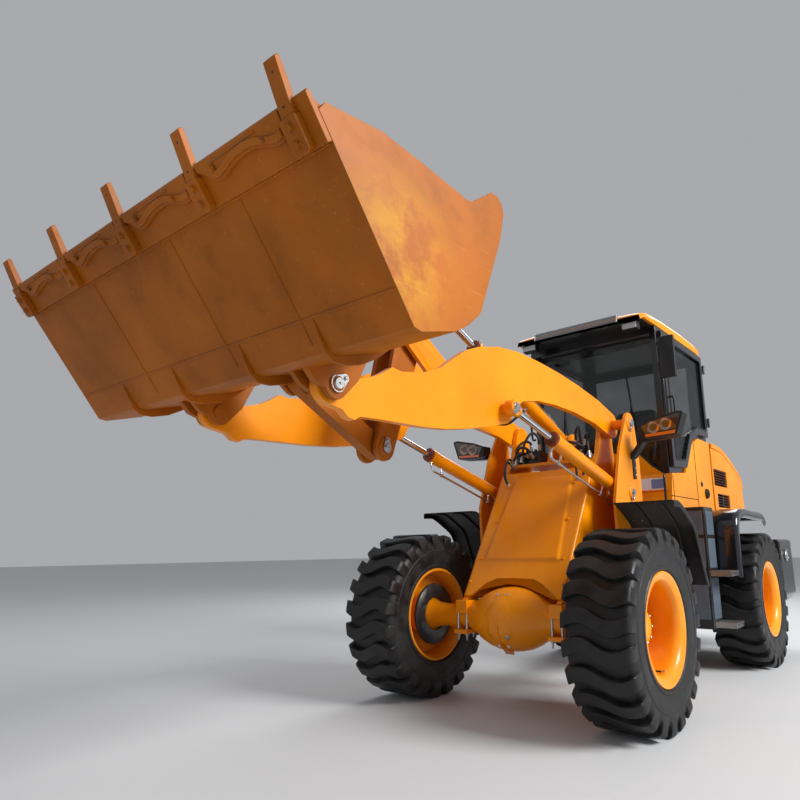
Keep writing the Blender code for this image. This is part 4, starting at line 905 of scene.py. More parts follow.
# Curved stiffeners hug the heel between the floor and the hinge brackets.
ribs = []
for y in (-0.72, -0.26, 0.26, 0.72):
    outline = [(0.150, -0.007), (0.060, -0.022), (0.000, -0.028), (-0.050, -0.012), (-0.090, 0.040), (-0.124, 0.120),
               (-0.140, 0.210), (-0.140, 0.300), (-0.128, 0.370), (-0.110, 0.392), (-0.124, 0.300), (-0.114, 0.207),
               (-0.040, 0.020), (-0.010, -0.007)]
    ribs.append(bucket_slab(outline, y - 0.008, y + 0.008))
piece("bucket_heel_ribs", ribs, bucket_orange, "bucket", bevel=0.002)

TEETH = (-1.058, -0.529, 0.0, 0.529, 1.058)
EDGE = [(0.604, -0.0333), (0.755, -0.0333), (0.764, -0.020), (0.752, -0.0083), (0.604, -0.0083)]
TOOTH = [(0.606, -0.0330), (0.606, -0.050), (0.622, -0.060), (0.700, -0.060), (0.8835, -0.026), (0.8868, -0.006),
         (0.880, -0.002), (0.766, -0.016), (0.760, -0.0330)]
edge = [bucket_slab(EDGE, -BUCKET_HALF, BUCKET_HALF)] + [bucket_slab(TOOTH, y - 0.028, y + 0.028) for y in TEETH]
edge = piece("cutting_edge_and_teeth", edge, bucket_orange, "bucket", bevel=0.004)
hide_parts("cutting_edge")

# How far the rear edge of a wear segment lies behind the lip, along its length from right to left.
WEAR_LINE = ((0, 0.033), (0.06, 0.045), (0.12, 0.075), (0.18, 0.093), (0.25, 0.092), (0.33, 0.080), (0.45, 0.066),
        (0.59, 0.062), (0.70, 0.068), (0.78, 0.082), (0.88, 0.097), (0.95, 0.097), (1.0, 0.078))


def wavy_band(left, right, span, near, far, low, high):
    """A band that follows the wave across a share of the segment, between two offsets from it."""
    share = np.linspace(*span, 49)
    shares, depths = np.array(WEAR_LINE).T
    deep = 0.760 - np.interp(share, shares, np.convolve(np.pad(depths, 1, "edge"), (0.1, 0.8, 0.1), "valid"))
    y = left + (right - left) * share
    front = np.full(49, 0.752) if near is None else deep + near
    outline = np.concatenate((np.stack((front, y), -1), np.stack((deep + far, y), -1)[::-1]))
    return floor_plate(outline, low, high)


segments, edge_bolts, pin_hole_shade_discs = [], [], []
underneath = np.array((-OUT[0], 0, -OUT[1]))
for left, right in zip(TEETH[:-1], TEETH[1:]):
    low, high = left + 0.040, right - 0.036
    wide = high - low
    segments.append(wavy_band(low, high, (0, 1), None, 0, -0.0500, -0.0330))
    segments.append(wavy_band(low, high, (0.14, 0.97), 0.034, 0.010, -0.0580, -0.0495))
    segments.append(floor_plate([(0.730, low + 0.19 * wide), (0.735, low + 0.74 * wide), (0.741, low + 0.74 * wide),
                                 (0.736, low + 0.19 * wide)], -0.0540, -0.0495))
    for share, behind in ((0.19, 0.0465), (0.78, 0.061)):
        edge_bolts += bolt(in_bucket(0.760 - behind, low + wide * share, -0.0575), underneath, 0.013)
piece("edge_protectors", segments, bucket_orange, "bucket", bevel=0.003)
adapters = []
lean = np.array((-OUT[0] + 0.18 * ALONG[0], 0, -OUT[1] + 0.18 * ALONG[1]))
for y in TEETH:
    adapters.append(floor_plate([(0.600, y - 0.020), (0.612, y - 0.036), (0.716, y - 0.036), (0.716, y + 0.036),
                                 (0.612, y + 0.036), (0.600, y + 0.020)], -0.0640, -0.0330))
    for along_floor in (0.634, 0.688):
        edge_bolts += bolt(in_bucket(along_floor, y, -0.0635), underneath, 0.015)
    # Each tooth pin hole is a thin black disc on the face: painted shade where the hole's inside is dark.
    for spot in ((0.846, y, -0.0322), (0.746, y, -0.0512)):
        pin_hole_shade_discs.append(lathe([(0.0035, 0), (0.0035, 0.0024)], in_bucket(*spot), lean, 10))
piece("tooth_adapters", adapters, bucket_orange, "bucket", bevel=0.003)
piece("edge_bolts", edge_bolts, bucket_orange, "bucket")
piece("tooth_pin_holes", pin_hole_shade_discs, chassis_black, "bucket")

bucket_ends = []
for side in (1, -1):
    bucket_ends.append(pin_head(BUCKET[0], BUCKET[2], 0.501, side, 0.026))
    bucket_ends += keeper(BUCKET[0], BUCKET[2], 0.4955, side, 2.5, length=0.128, width=0.078, tip=0.5)
    bucket_ends.append(pin_head(LINK_FRONT[0], LINK_FRONT[1], 0.086, side, 0.024))
    bucket_ends += keeper(LINK_FRONT[0], LINK_FRONT[1], 0.0865, side, 2.9, length=0.066, width=0.030)
piece("bucket_pin_keepers", bucket_ends, zinc, "bucket")

# ---------------------------------------------------------------- hydraulic cylinders
# A cylinder is a honed tube with a screwed gland at its mouth, painted, and a ground chrome rod
# that slides in it. Both ends are forged eyes welded on and bushed for their pins.

chrome, _, _ = new_material("hard_chrome_rod", Base_Color=linear("#D9DCDE"), Metallic=1.0, Roughness=0.12)
gland_paint = enamel("gland_red_brown", "#7A3418", "#6A2C14", "#7A6A58", "#8A8580", 0.38, 0.2, 0.5, 0.2)
oil_pipe, _, _ = new_material("zinc_oil_pipe", Base_Color=linear("#C9CCD0"), Metallic=1.0, Roughness=0.24)


HALF_EYE = 0.045


def hydraulic(name, base, eye, mouth, across, sizes, bodies):
    """Barrel with weld rings, ports and gland, and a rod with a forged eye, turned about their line."""
    barrel_radius, rod_radius = sizes
    start = at(base[0], across, base[1])
    end = at(eye[0], across, eye[1])
    length = np.linalg.norm(end - start)
    axis = (end - start) / length
    reach = mouth * length
    eye_radius = barrel_radius * 1.15
    body = [lathe([(rod_radius + 0.002, 0.08), (barrel_radius * 0.92, 0.078), (barrel_radius, 0.088),
                   (barrel_radius, reach - 0.058), (barrel_radius * 1.07, reach - 0.056),
                   (barrel_radius * 1.07, reach - 0.020), (rod_radius + 0.002, reach - 0.020)], start, axis, 40,
                  closed=True),
            lathe([(barrel_radius * 0.80, 0.030), (barrel_radius * 0.80, 0.070), (barrel_radius * 0.97, 0.079)],
                  start, axis, 32),
            lathe([(0.0315, -HALF_EYE), (eye_radius - 0.004, -HALF_EYE), (eye_radius, -HALF_EYE + 0.004),
                   (eye_radius, HALF_EYE - 0.004), (eye_radius - 0.004, HALF_EYE), (0.0315, HALF_EYE)],
                  start, ACROSS, 36, closed=True)]
    barrel = piece(f"{name}_barrel_tube", body, amber, bodies[0], smooth=45)
    ring = lathe([(rod_radius + 0.0015, reach - 0.020), (barrel_radius * 1.02, reach - 0.020),
                  (barrel_radius * 1.02, reach - 0.004), (barrel_radius * 0.88, reach), (rod_radius + 0.0015, reach)],
                 start, axis, 36, closed=True)
    mouth_at = start + axis * (reach - 0.012)
    ways = [way * sign for way in square_to(axis)[1:] for sign in (1, -1)]
    notches = [lathe([(0.004, 0), (0.004, 0.006)], mouth_at + way * barrel_radius, way, 10) for way in ways]
    piece(f"{name}_gland", [ring] + notches, gland_paint, bodies[0], smooth=45)
    rod_from = 0.42 if length > 1.2 else 0.31
    bar = [lathe([(rod_radius, rod_from), (rod_radius, length - rod_radius * 2.2)], start, axis, 32)]
    shaft = piece(f"{name}_rod_shaft", bar, chrome, bodies[1], smooth=45)
    ear = rod_radius * 2.35
    half_ear = 0.030
    eye_shape = [lathe([(0.0, -half_ear), (ear - 0.004, -half_ear), (ear, -half_ear + 0.004), (ear, half_ear - 0.004),
                        (ear - 0.004, half_ear), (0.0, half_ear)], end, ACROSS, 32),
                 lathe([(rod_radius * 1.05, -rod_radius * 3.4), (rod_radius * 1.45, -rod_radius * 3.0),
                        (rod_radius * 1.75, -rod_radius * 1.6)], end, axis, 28)]
    piece(f"{name}_rod_eye", eye_shape, amber, bodies[1], smooth=45)
    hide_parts(bodies[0])
    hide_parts(bodies[1])
    return start, axis, reach


def barrel_pipe(name, start, axis, radius, turn, run, body, gap=0.034):
    """A steel oil pipe along a barrel: out of the base port, parallel to the tube, into the gland port."""
    _, sideways, up = square_to(axis)
    lean = up * np.cos(turn) + sideways * np.sin(turn)
    near, far = run
    stations = ((near, -0.002), (near, gap * 0.5), (near + 0.030, gap), (near + 0.10, gap), (far - 0.10, gap),
                (far - 0.030, gap), (far, gap * 0.5), (far, -0.002))
    shapes = [tube([start + axis * along + lean * (radius + away) for along, away in stations], 0.0085, 12)]
    for spot in (near, far):
        shapes.append(lathe([(0.013, -0.002), (0.013, 0.012), (0.010, 0.014)], start + axis * spot + lean * radius,
                            lean, 6))
    for spot in np.linspace(near + 0.12, far - 0.12, 2):
        wall = start + axis * spot + lean * radius
        shapes.append(lathe([(0.0125, -0.012), (0.0125, 0.012)], wall + lean * gap, axis, 16))
        shapes.append(lathe([(0.005, -0.004), (0.005, gap)], wall, lean, 10))
    piece(name, shapes, oil_pipe, body, smooth=50)


LIFT_BASE = PIVOT["lift_swing_left"] - (AXLE_X, 0, 0)
for hand, side in HANDS:
    start, axis, reach = hydraulic(
        f"lift_{hand}", (LIFT_BASE[0], LIFT_BASE[2]), LIFT_EYE, 0.699, side * 0.509, (0.049, 0.021),
        (f"lift_barrel_{hand}", f"lift_rod_{hand}"))
    pin_end = [pin_head(LIFT_EYE[0], LIFT_EYE[1], 0.5455, side, 0.024)]
    pin_end += keeper(LIFT_EYE[0], LIFT_EYE[1], 0.5395, side, -0.9, length=0.096, width=0.066, tip=0.6)
    piece(f"lift_{hand}_pin_end", pin_end, zinc, f"lift_rod_{hand}")
    barrel_pipe(f"lift_{hand}_pipe", start, axis, 0.049, np.pi - side * 0.2, (0.18, reach - 0.04),
                f"lift_barrel_{hand}", gap=0.062)
TILT_BASE = PIVOT["tilt_swing"] - (AXLE_X, 0, 0)
start, axis, reach = hydraulic("tilt", (TILT_BASE[0], TILT_BASE[2]), (1.080, 2.700), 0.660, 0.0, (0.052, 0.024),
                               ("tilt_barrel", "tilt_rod"))
barrel_pipe("tilt_pipe", start, axis, 0.052, 0.0, (0.18, reach - 0.04), "tilt_barrel")
for hand, side in HANDS:
    refined(f"steer_barrel_{hand}", 0.002, chassis_black, f"steer_barrel_{hand}")
    refined(f"steer_rod_{hand}", 0.001, chrome, f"steer_rod_{hand}")

# ---------------------------------------------------------------- hoses on the front frame
# Wire-braided rubber hoses run from the valve block on the deck to the cylinders. Each ends in a
# crimped zinc ferrule and a hexagon nut, and they hang in loops so that the boom can move.


def braided_hose():
    """Extruded hose cover: satin black rubber with the wrap marks of its curing cloth, 6 mm apart."""
    material, tree, shader = new_material("braided_hose_rubber", Roughness=0.48)
    place = add(tree, "TexCoord")
    wrap = add(tree, "TexWave", {"Vector": (place, "Object")}, {"Scale": 26.0, "Distortion": 1.5},
               wave_profile="SIN")
    tone = add(tree, "Mix", {FACTOR: (wrap, "Fac")}, {FIRST: linear("#0E0F10"), SECOND: linear("#1C1D1F")},
               data_type="RGBA")
    tree.links.new(tone.outputs[MIXED], shader.inputs["Base Color"])
    rise = add(tree, "Bump", {"Height": (wrap, "Fac")}, {"Strength": 0.15, "Distance": 0.001})
    tree.links.new(rise.outputs[0], shader.inputs["Normal"])
    return material


hose_rubber = braided_hose()


def hoses(name, routes, body, sides=(1,), radius=0.0105):
    """Hoses along given routes on one or both sides, with a ferrule and a nut at both ends of each."""
    rubber_parts, fittings = [], []
    for places in [route(side, *points) for side in sides for points in routes]:
        rubber_parts.append(tube(places, radius, 12))
        for end, towards in ((places[0], places[1]), (places[-1], places[-2])):
            way = (towards - end) / np.linalg.norm(towards - end)
            ferrule = [(radius * 1.25, -0.004), (radius * 1.30, 0.030), (radius * 1.12, 0.036)]
            fittings.append(lathe(ferrule, end, way, 16))
            fittings.append(lathe([(radius * 1.45, -0.018), (radius * 1.45, -0.002)], end, way, 6))
    piece(name, rubber_parts, hose_rubber, body, smooth=60)
    piece(name + "_fittings", fittings, zinc, body, smooth=40)


DECK = 1.725
valve = []
for side in (1, -1):
    valve += [side_block(side, (-0.820, 0.135, DECK), (-0.660, 0.335, DECK + 0.105)),
              side_block(side, (-0.800, 0.165, DECK + 0.10), (-0.780, 0.305, DECK + 0.130))]
    for y in (0.165, 0.205, 0.245, 0.285):
        valve.append(lathe([(0.017, 0), (0.017, 0.035), (0.012, 0.050)], at(-0.660, side * y, DECK + 0.055),
                           (1, 0, 0), 16))
        valve.append(lathe([(0.014, 0), (0.014, 0.030)], at(-0.740, side * y, DECK + 0.105), (0, 0, 1), 6))
piece("boom_valve_blocks", valve, chassis_black, "front_frame", bevel=0.002)
hoses("deck_hoses", [
    [(-0.610, 0.165, 1.785), (-0.560, 0.170, 1.830), (-0.520, 0.200, 1.850), (-0.560, 0.270, 1.830),
     (-0.640, 0.300, 1.790), (-0.655, 0.335, 1.745)],
    [(-0.610, 0.205, 1.785), (-0.540, 0.215, 1.810), (-0.495, 0.250, 1.770), (-0.530, 0.300, 1.735)],
    [(-0.740, 0.165, 1.860), (-0.730, 0.170, 1.950), (-0.695, 0.210, 1.990), (-0.640, 0.250, 1.900),
     (-0.620, 0.270, 1.760)],
    [(-0.740, 0.245, 1.860), (-0.735, 0.250, 1.915), (-0.700, 0.290, 1.925), (-0.630, 0.315, 1.860),
     (-0.625, 0.325, 1.745)]], "front_frame", (1, -1))
for hand, side in HANDS:
    hoses(f"lift_{hand}_base_hoses", [
        [(-0.600, 0.330, 1.690), (-0.540, 0.345, 1.740), (-0.490, 0.345, 1.700), (-0.470, 0.345, 1.620),
         (-0.500, 0.335, 1.560)],
        [(-0.560, 0.300, 1.700), (-0.500, 0.310, 1.760), (-0.440, 0.310, 1.700), (-0.430, 0.310, 1.600),
         (-0.470, 0.300, 1.530)]], "front_frame", (side,), 0.009)
hoses("boom_hoses", [
    [(0.700, -0.060, 1.955), (0.500, -0.150, 1.900), (0.250, -0.200, 1.905), (0.050, -0.180, 1.980),
     (-0.150, -0.120, 2.060)],
    [(0.700, 0.060, 1.955), (0.480, 0.100, 1.890), (0.230, 0.120, 1.890), (0.040, 0.100, 1.970),
     (-0.150, 0.060, 2.060)]], "boom", radius=0.010)

# ---------------------------------------------------------------- cab base
# The lower cab is a welded tub of 4 mm sheet in the machine's amber, with a swept top line that
# the door and the windows follow. Its flat front carries a blank decal and a grab rail each side.

refined("cab_base", 0.008, amber, "rear_frame", segments=3)
decal_film, _, _ = new_material("blank_decal_film", Base_Color=linear("#E8E6EA"), Roughness=0.30, Coat_Weight=0.4)
blue_film, _, _ = new_material("blank_blue_film", Base_Color=linear("#6E88B4"), Roughness=0.30, Coat_Weight=0.4)
stripe_film, _, _ = new_material("orange_stripe_film", Base_Color=linear("#D9520E"), Roughness=0.30, Coat_Weight=0.4)
CAB_FRONT = -1.460
FILM = 0.0015


def film_patch(name, x, low, high, material):
    """A blank rectangle of film on a face that looks forward, with rounded corners."""
    (y0, z0), (y1, z1) = low, high
    corner = min(0.012, (z1 - z0) / 3)
    angle = np.linspace(0, np.pi / 2, 5)
    quarter = corner * np.stack((np.cos(angle), np.sin(angle)), -1)
    centres = ((y1 - corner, z1 - corner), (y0 + corner, z1 - corner), (y0 + corner, z0 + corner),
               (y1 - corner, z0 + corner))
    turns = (quarter, quarter[::-1] * (-1, 1), -quarter, quarter[::-1] * (1, -1))
    outline = np.vstack([np.array(centre) + turn for centre, turn in zip(centres, turns)])
    film = slab(outline, "X", AXLE_X + x, AXLE_X + x + FILM)
    piece(name, [film], material, "rear_frame")


for hand, side in HANDS:
    for name, lift, near, far, foot, head, film in (
            ("decal", 0, 0.30, 0.60, 1.524, 1.622, decal_film),
            ("badge", 0.0016, 0.480, 0.592, 1.534, 1.612, blue_film),
            ("stripe", 0, 0.28, 0.625, 1.505, 1.515, stripe_film)):
        y0, y1 = sorted((side * near, side * far))
        film_patch(f"{hand}_front_{name}", CAB_FRONT + lift, (y0, foot), (y1, head), film)
panel_seams = []
for side in (1, -1):
    for x, low, high in ((-2.160, 1.400, 1.990), (-1.530, 1.400, 1.640)):
        panel_seams.append(tube(route(side, (x, 0.6405, low), (x, 0.6405, high)), 0.0035, 8, smooth=False))
    sill = route(side, (-1.475, 0.6405, 1.470), (-2.150, 0.6405, 1.470))
    panel_seams.append(tube(sill, 0.0035, 8, smooth=False))
groove_black, _, _ = new_material("panel_gap", Base_Color=linear("#15110C"), Roughness=0.8)
piece("cab_panel_gaps", panel_seams, groove_black, "rear_frame")
latches = []
for side in (1, -1):
    spot = at(-2.300, side * 0.6402, 1.620)
    latches += [lathe([(0.026, -0.001), (0.026, 0.003), (0.022, 0.006), (0.0, 0.006)], spot, (0, side, 0), 24),
                lathe([(0.012, 0.005), (0.012, 0.011), (0.0, 0.012)], spot, (0, side, 0), 16)]
piece("cab_latches", latches, chassis_black, "rear_frame")

# ---------------------------------------------------------------- cab frame and glass
# The upper cab is a frame of pressed steel posts sprayed satin black, glazed with tinted safety
# glass that is bonded into rubber seals.

cab_black = enamel("cab_black_enamel", "#101114", "#15171B", "#4E4A44", "#4A4A48", 0.24, 0.25, 0.3, 0.5)
refined("cab_frame", 0.010, cab_black, "rear_frame", segments=3)


def tinted_glass():
    """Green-grey safety glass, 5 mm: mostly see-through, mirror-like at a slant, faint dust smears."""
    material, tree, shader = new_material("tinted_safety_glass", IOR=1.50, Transmission_Weight=0.0,
                                          Specular_IOR_Level=0.5, Base_Color=linear("#141C1A"))
    place = add(tree, "TexCoord")
    smear = add(tree, "TexNoise", {"Vector": (place, "Object")}, {"Scale": 4.0, "Detail": 8.0})
    film = add(tree, "MapRange", {"Value": (smear, "Fac")}, {"From Min": 0.3, "From Max": 0.9, "To Min": 0.36,
                                                              "To Max": 0.50})
    tree.links.new(film.outputs[0], shader.inputs["Alpha"])
    matt = add(tree, "MapRange", {"Value": (smear, "Fac")}, {"To Min": 0.02, "To Max": 0.10})
    tree.links.new(matt.outputs[0], shader.inputs["Roughness"])
    return material


cab_glass = tinted_glass()
for node, body in (("windscreen", "rear_frame"), ("rear_window", "rear_frame"), ("right_window", "rear_frame"),
                   ("door_left_glass", "door_left")):
    refined(node, 0, cab_glass, body)


def loop_seal(name, outline, axis, level, radius, body):
    """A rubber glazing seal: a round bead carried round a window's outline."""
    flat = np.array(outline, float)
    ring = np.vstack((flat, flat[:1]))
    order = {"Y": (0, 2, 1), "X": (2, 0, 1)}[axis]
    shapes = []
    for a, b in zip(ring[:-1], ring[1:]):
        ends = np.array(((*a, level), (*b, level)))[:, order]
        shapes.append(tube(ends, radius, 8, smooth=False))
    piece(name, shapes, hose_rubber, body)


screen = [(0.562, 2.876), (0.562, 1.690), (0.470, 1.738), (0.340, 1.878), (-0.340, 1.878), (-0.470, 1.738),
          (-0.562, 1.690), (-0.562, 2.876)]
loop_seal("windscreen_seal", screen, "X", AXLE_X - 1.537, 0.009, "rear_frame")
back = [(-0.498, 2.152), (0.498, 2.152), (0.498, 2.848), (-0.498, 2.848)]
loop_seal("rear_window_seal", back, "X", AXLE_X - 2.628, 0.008, "rear_frame")
pane = [(-1.592, 1.764), (-1.849, 1.779), (-2.049, 2.049), (-2.279, 2.134), (-2.556, 2.134), (-2.556, 2.866),
        (-1.536, 2.866)]
loop_seal("right_window_seal", [(AXLE_X + x, z) for x, z in pane], "Y", -0.609, 0.007, "rear_frame")
wipers = []
for side in (1, -1):
    arm = route(side, (-1.530, 0.240, 1.905), (-1.520, 0.300, 2.110), (-1.524, 0.330, 2.300))
    blade = route(side, (-1.532, 0.345, 2.060), (-1.530, 0.325, 2.300), (-1.532, 0.300, 2.540))
    wipers += [tube(arm, 0.006, 10), tube(blade, 0.008, 8)]
    boss_at = at(-1.538, side * 0.240, 1.895)
    wipers.append(lathe([(0.020, 0), (0.018, 0.020), (0.010, 0.026)], boss_at, (1, 0, 0), 20))
piece("windscreen_wipers", wipers, black_plastic, "rear_frame")

# ---------------------------------------------------------------- roof
# The roof is one moulded fibreglass cap, sprayed amber, with a dark visor underneath that carries two
# work lights and an aluminium air grille over the windscreen.


def roof_cap():
    """Crowned cap: height = edge line + crown * (1 - y^4), its plan a rounded rectangle.

    Rows go from the front lip to the back; columns from right to left. The half width narrows at
    both ends as 1 - |2t - 1|^14, which rounds the corners, and the skin closes on a flat underside.
    """
    x0, x1 = -1.168, -2.718
    t = np.linspace(0, 1, 44)[:, None]
    v = np.linspace(-1, 1, 41)[None]
    half_width = (1 - np.clip(np.abs(t * 2 - 1), 0, 1) ** 14) * 0.03 + 0.602
    x = x0 + (x1 - x0) * t + 0 * v
    line = np.interp(t[:, 0], [0, 0.02, 0.09, 0.30, 0.62, 0.94, 0.985, 1.0],
                     [2.984, 3.004, 3.028, 3.052, 3.062, 3.050, 3.030, 3.004])[:, None]
    crown = 0.012 * (1 - v ** 4) - 0.045 * np.clip((np.abs(v) - 0.93) / 0.07, 0, 1) ** 2
    top = np.stack((AXLE_X + x, v * half_width, line + crown - 0.006), -1)
    sides = np.minimum(np.abs(v), 0.985) * np.sign(v)
    foot = np.interp(t[:, 0], [0, 0.03, 1.0], [2.974, 2.952, 2.952])[:, None]
    bottom = np.stack((AXLE_X + x, sides * half_width, foot + 0 * v), -1)
    return grid_shape(np.concatenate((top, bottom[:, ::-1]), 1), round_columns=True, capped=True)


cap = piece("roof_cap", [roof_cap()], amber, "rear_frame", smooth=35)
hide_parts("cab_roof")
visor = side_slab([(-1.455, 2.944), (-1.190, 2.944), (-1.172, 2.972), (-1.455, 2.960)], 1, -0.596, 0.596)
piece("roof_lining", [visor], cab_black, "rear_frame", bevel=0.003)


def aluminium():
    """Extruded aluminium, brushed: light grey metal with fine lines along its length."""
    material, tree, shader = new_material("brushed_aluminium", Metallic=1.0, Base_Color=linear("#C4C7C9"))
    place = add(tree, "TexCoord")
    drawn = add(tree, "Mapping", {"Vector": (place, "Object")}, {"Scale": (300.0, 4.0, 300.0)})
    lines = add(tree, "TexNoise", {"Vector": (drawn, 0)}, {"Scale": 1.0, "Detail": 3.0})
    matt = add(tree, "MapRange", {"Value": (lines, "Fac")}, {"To Min": 0.25, "To Max": 0.45})
    tree.links.new(matt.outputs[0], shader.inputs["Roughness"])
    return material


bare_aluminium = aluminium()
slats = []
for k in range(6):
    x, z = -1.146 - 0.003 * k, 2.950 + 0.012 * k
    slat = [(x, z), (x, z + 0.004), (x - 0.016, z + 0.010), (x - 0.016, z + 0.006)]
    slats.append(side_slab(slat, 1, -0.395, 0.395))
rib = [(-1.142, 2.944), (-1.158, 3.018), (-1.182, 3.018), (-1.182, 2.944)]
slats += [side_slab(rib, side, 0.395, 0.403) for side in (-1, 1)]
slats.append(block(at(-1.185, -0.399, 2.944), at(-1.178, 0.399, 3.018)))
piece("roof_air_grille", slats, bare_aluminium, "rear_frame", bevel=0.001)
for hand, side in HANDS:
    stalk = tube(route(side, (-1.240, 0.49, 2.940), (-1.240, 0.49, 2.962)), 0.010, 12, smooth=False)
    for name, cover, shell, extra, near, far, back, front, foot, head in (
            ("work_light", "work_light_glass", [(-1.262, 2.868), (-1.200, 2.874), (-1.196, 2.938), (-1.262, 2.942)],
             [stalk], 0.420, 0.560, -1.2005, -1.1935, 2.881, 2.932),
            ("rear_work_light", "rear_light_glass",
             [(-2.640, 2.870), (-2.700, 2.874), (-2.704, 2.936), (-2.640, 2.944)],
             [], 0.430, 0.560, -2.7065, -2.6995, 2.882, 2.930)):
        piece(f"{hand}_{name}", [side_slab(shell, side, near, far)] + extra, black_plastic, "rear_frame",
              bevel=0.004)
        piece(f"{hand}_{cover}", [side_block(side, (back, near + 0.008, foot), (front, far - 0.008, head))],
              clear_lens, "rear_frame", bevel=0.003)

# ---------------------------------------------------------------- left door
# The door is a pressed frame with a wide pane, hung on two hinges at the back post. Its seal is a
# hollow rubber bead, and a pull handle with a push button sits at its front edge.

refined("door_left", 0.006, cab_black, "door_left", segments=3)
DOOR_PANE = [(-1.612, 1.783), (-1.844, 1.798), (-2.038, 2.063), (-2.270, 2.153), (-2.527, 2.153), (-2.527, 2.847),
             (-1.553, 2.847)]
loop_seal("door_pane_seal", [(AXLE_X + x, z) for x, z in DOOR_PANE], "Y", 0.658, 0.007, "door_left")
grip = [tube([at(-1.560, y, z) for y, z in ((0.658, 2.140), (0.690, 2.150), (0.696, 2.230), (0.690, 2.310),
                                            (0.658, 2.320))], 0.009, 12),
        lathe([(0.020, 0.0), (0.020, 0.010), (0.012, 0.014), (0.0, 0.014)], at(-1.560, 0.688, 2.080), ACROSS, 24)]
piece("door_grip", grip, black_plastic, "door_left")
hinges = []
for z in (2.240, 2.780):
    hinges += [lathe([(0.012, -0.045), (0.012, 0.045)], at(-2.605, 0.668, z), (0, 0, 1), 16),
               block(at(-2.600, 0.6585, z - 0.030), at(-2.540, 0.664, z + 0.030))]
piece("door_hinges", hinges, chassis_black, "door_left", bevel=0.001)

# ---------------------------------------------------------------- cab interior
# Inside are a sprung seat in black vinyl, a steering wheel behind a dash hood, and a console with
# three levers on the right.


def vinyl():
    """Embossed vinyl: near black, leather grain 2 mm across drawn 4 mm wide so that it shows."""
    material, tree, shader = new_material("embossed_seat_vinyl", Base_Color=linear("#1B1B1D"), Roughness=0.52)
    place = add(tree, "TexCoord")
    grain = add(tree, "TexVoronoi", {"Vector": (place, "Object")}, {"Scale": 250.0})
    rise = add(tree, "Bump", {"Height": (grain, "Distance")}, {"Strength": 0.2, "Distance": 0.001})
    tree.links.new(rise.outputs[0], shader.inputs["Normal"])
    return material


seat_vinyl = vinyl()


def cushion(centre, size, lean, bolster, channels):
    """Crowned pad: a superellipsoid, |x|^n + |y|^n + |z|^n = 1, pinched in at its sewn channels.

    The sides rise as bolsters with v^4, and each channel is a narrow dip, exp(-(distance / 9 mm)^2), across the pad.
    """
    u = np.linspace(-np.pi / 2, np.pi / 2, 60)[:, None]
    w = np.linspace(0, 2 * np.pi, 120, endpoint=False)[None]

    def power(value, n):
        """The nth power of a value, with the value's own sign."""
        return np.sign(value) * np.abs(value) ** n

    length, width, thick = size
    a = power(np.cos(u), 0.28) * power(np.cos(w), 0.28) * length / 2
    b = power(np.cos(u), 0.28) * power(np.sin(w), 0.28) * width / 2
    c = power(np.sin(u), 0.55) * thick / 2 + 0 * w
    above = np.clip(c / (thick / 2), 0, 1)
    c = c + above * (bolster * np.clip(np.abs(b) / (width / 2), 0, 1) ** 4)
    for channel in channels:
        c = c - above * 0.014 * np.exp(-((a - channel * length) / 0.009) ** 2)
    turn = np.radians(lean)
    x = a * np.cos(turn) - c * np.sin(turn)
    z = a * np.sin(turn) + c * np.cos(turn)
    return grid_shape(np.stack((centre[0] + x, centre[1] + b, centre[2] + z), -1), round_columns=True)


seat = piece("driver_seat_pads", [
    cushion(at(-2.165, 0, 1.795), (0.46, 0.49, 0.13), 4, 0.020, (-0.18, 0.14)),
    cushion(at(-2.405, 0, 2.130), (0.62, 0.46, 0.11), 106, 0.022, (-0.22, 0.02, 0.24))],
    seat_vinyl, "rear_frame", smooth=60)
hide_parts("driver_seat")
bellows = [lathe([(0.165 + 0.012 * (k % 2), 1.425 + 0.0295 * k) for k in range(11)], at(-2.165, 0, 0), (0, 0, 1), 36),
           block(at(-2.360, -0.215, 1.722), at(-1.965, 0.215, 1.742)),
           block(at(-2.40, -0.20, 1.4205), at(-1.95, 0.20, 1.440))]
piece("seat_suspension", bellows, hose_rubber, "rear_frame", smooth=30)
refined("steering_wheel", 0.004, black_plastic, "rear_frame", segments=3)
console = [side_slab([(-2.30, 1.425), (-1.86, 1.425), (-1.80, 1.900), (-1.96, 1.960), (-2.28, 1.900)], -1,
                     0.330, 0.520)]
for x, y in ((-1.900, -0.390), (-1.900, -0.460), (-1.980, -0.425)):
    console.append(tube([at(x, y, 1.900), at(x + 0.010, y, 1.990), at(x + 0.030, y, 2.070)], 0.006, 10))
    console.append(lathe([(0.008, 0), (0.020, 0.012), (0.022, 0.032), (0.010, 0.046)], at(x + 0.028, y, 2.060),
                         (0.2, 0, 1), 20))
piece("side_console", console, black_plastic, "rear_frame", bevel=0.006)
dash = [side_slab([(-1.690, 1.700), (-1.560, 1.700), (-1.5625, 1.880), (-1.680, 1.940)], 1, -0.230, 0.230)]
piece("dash_hood", dash, black_plastic, "rear_frame", bevel=0.010)

# ---------------------------------------------------------------- mirrors and rails
# Mirrors are moulded heads on black tube arms; the grab rails are bent steel tube, painted with
# the cab and bolted down through flattened feet.

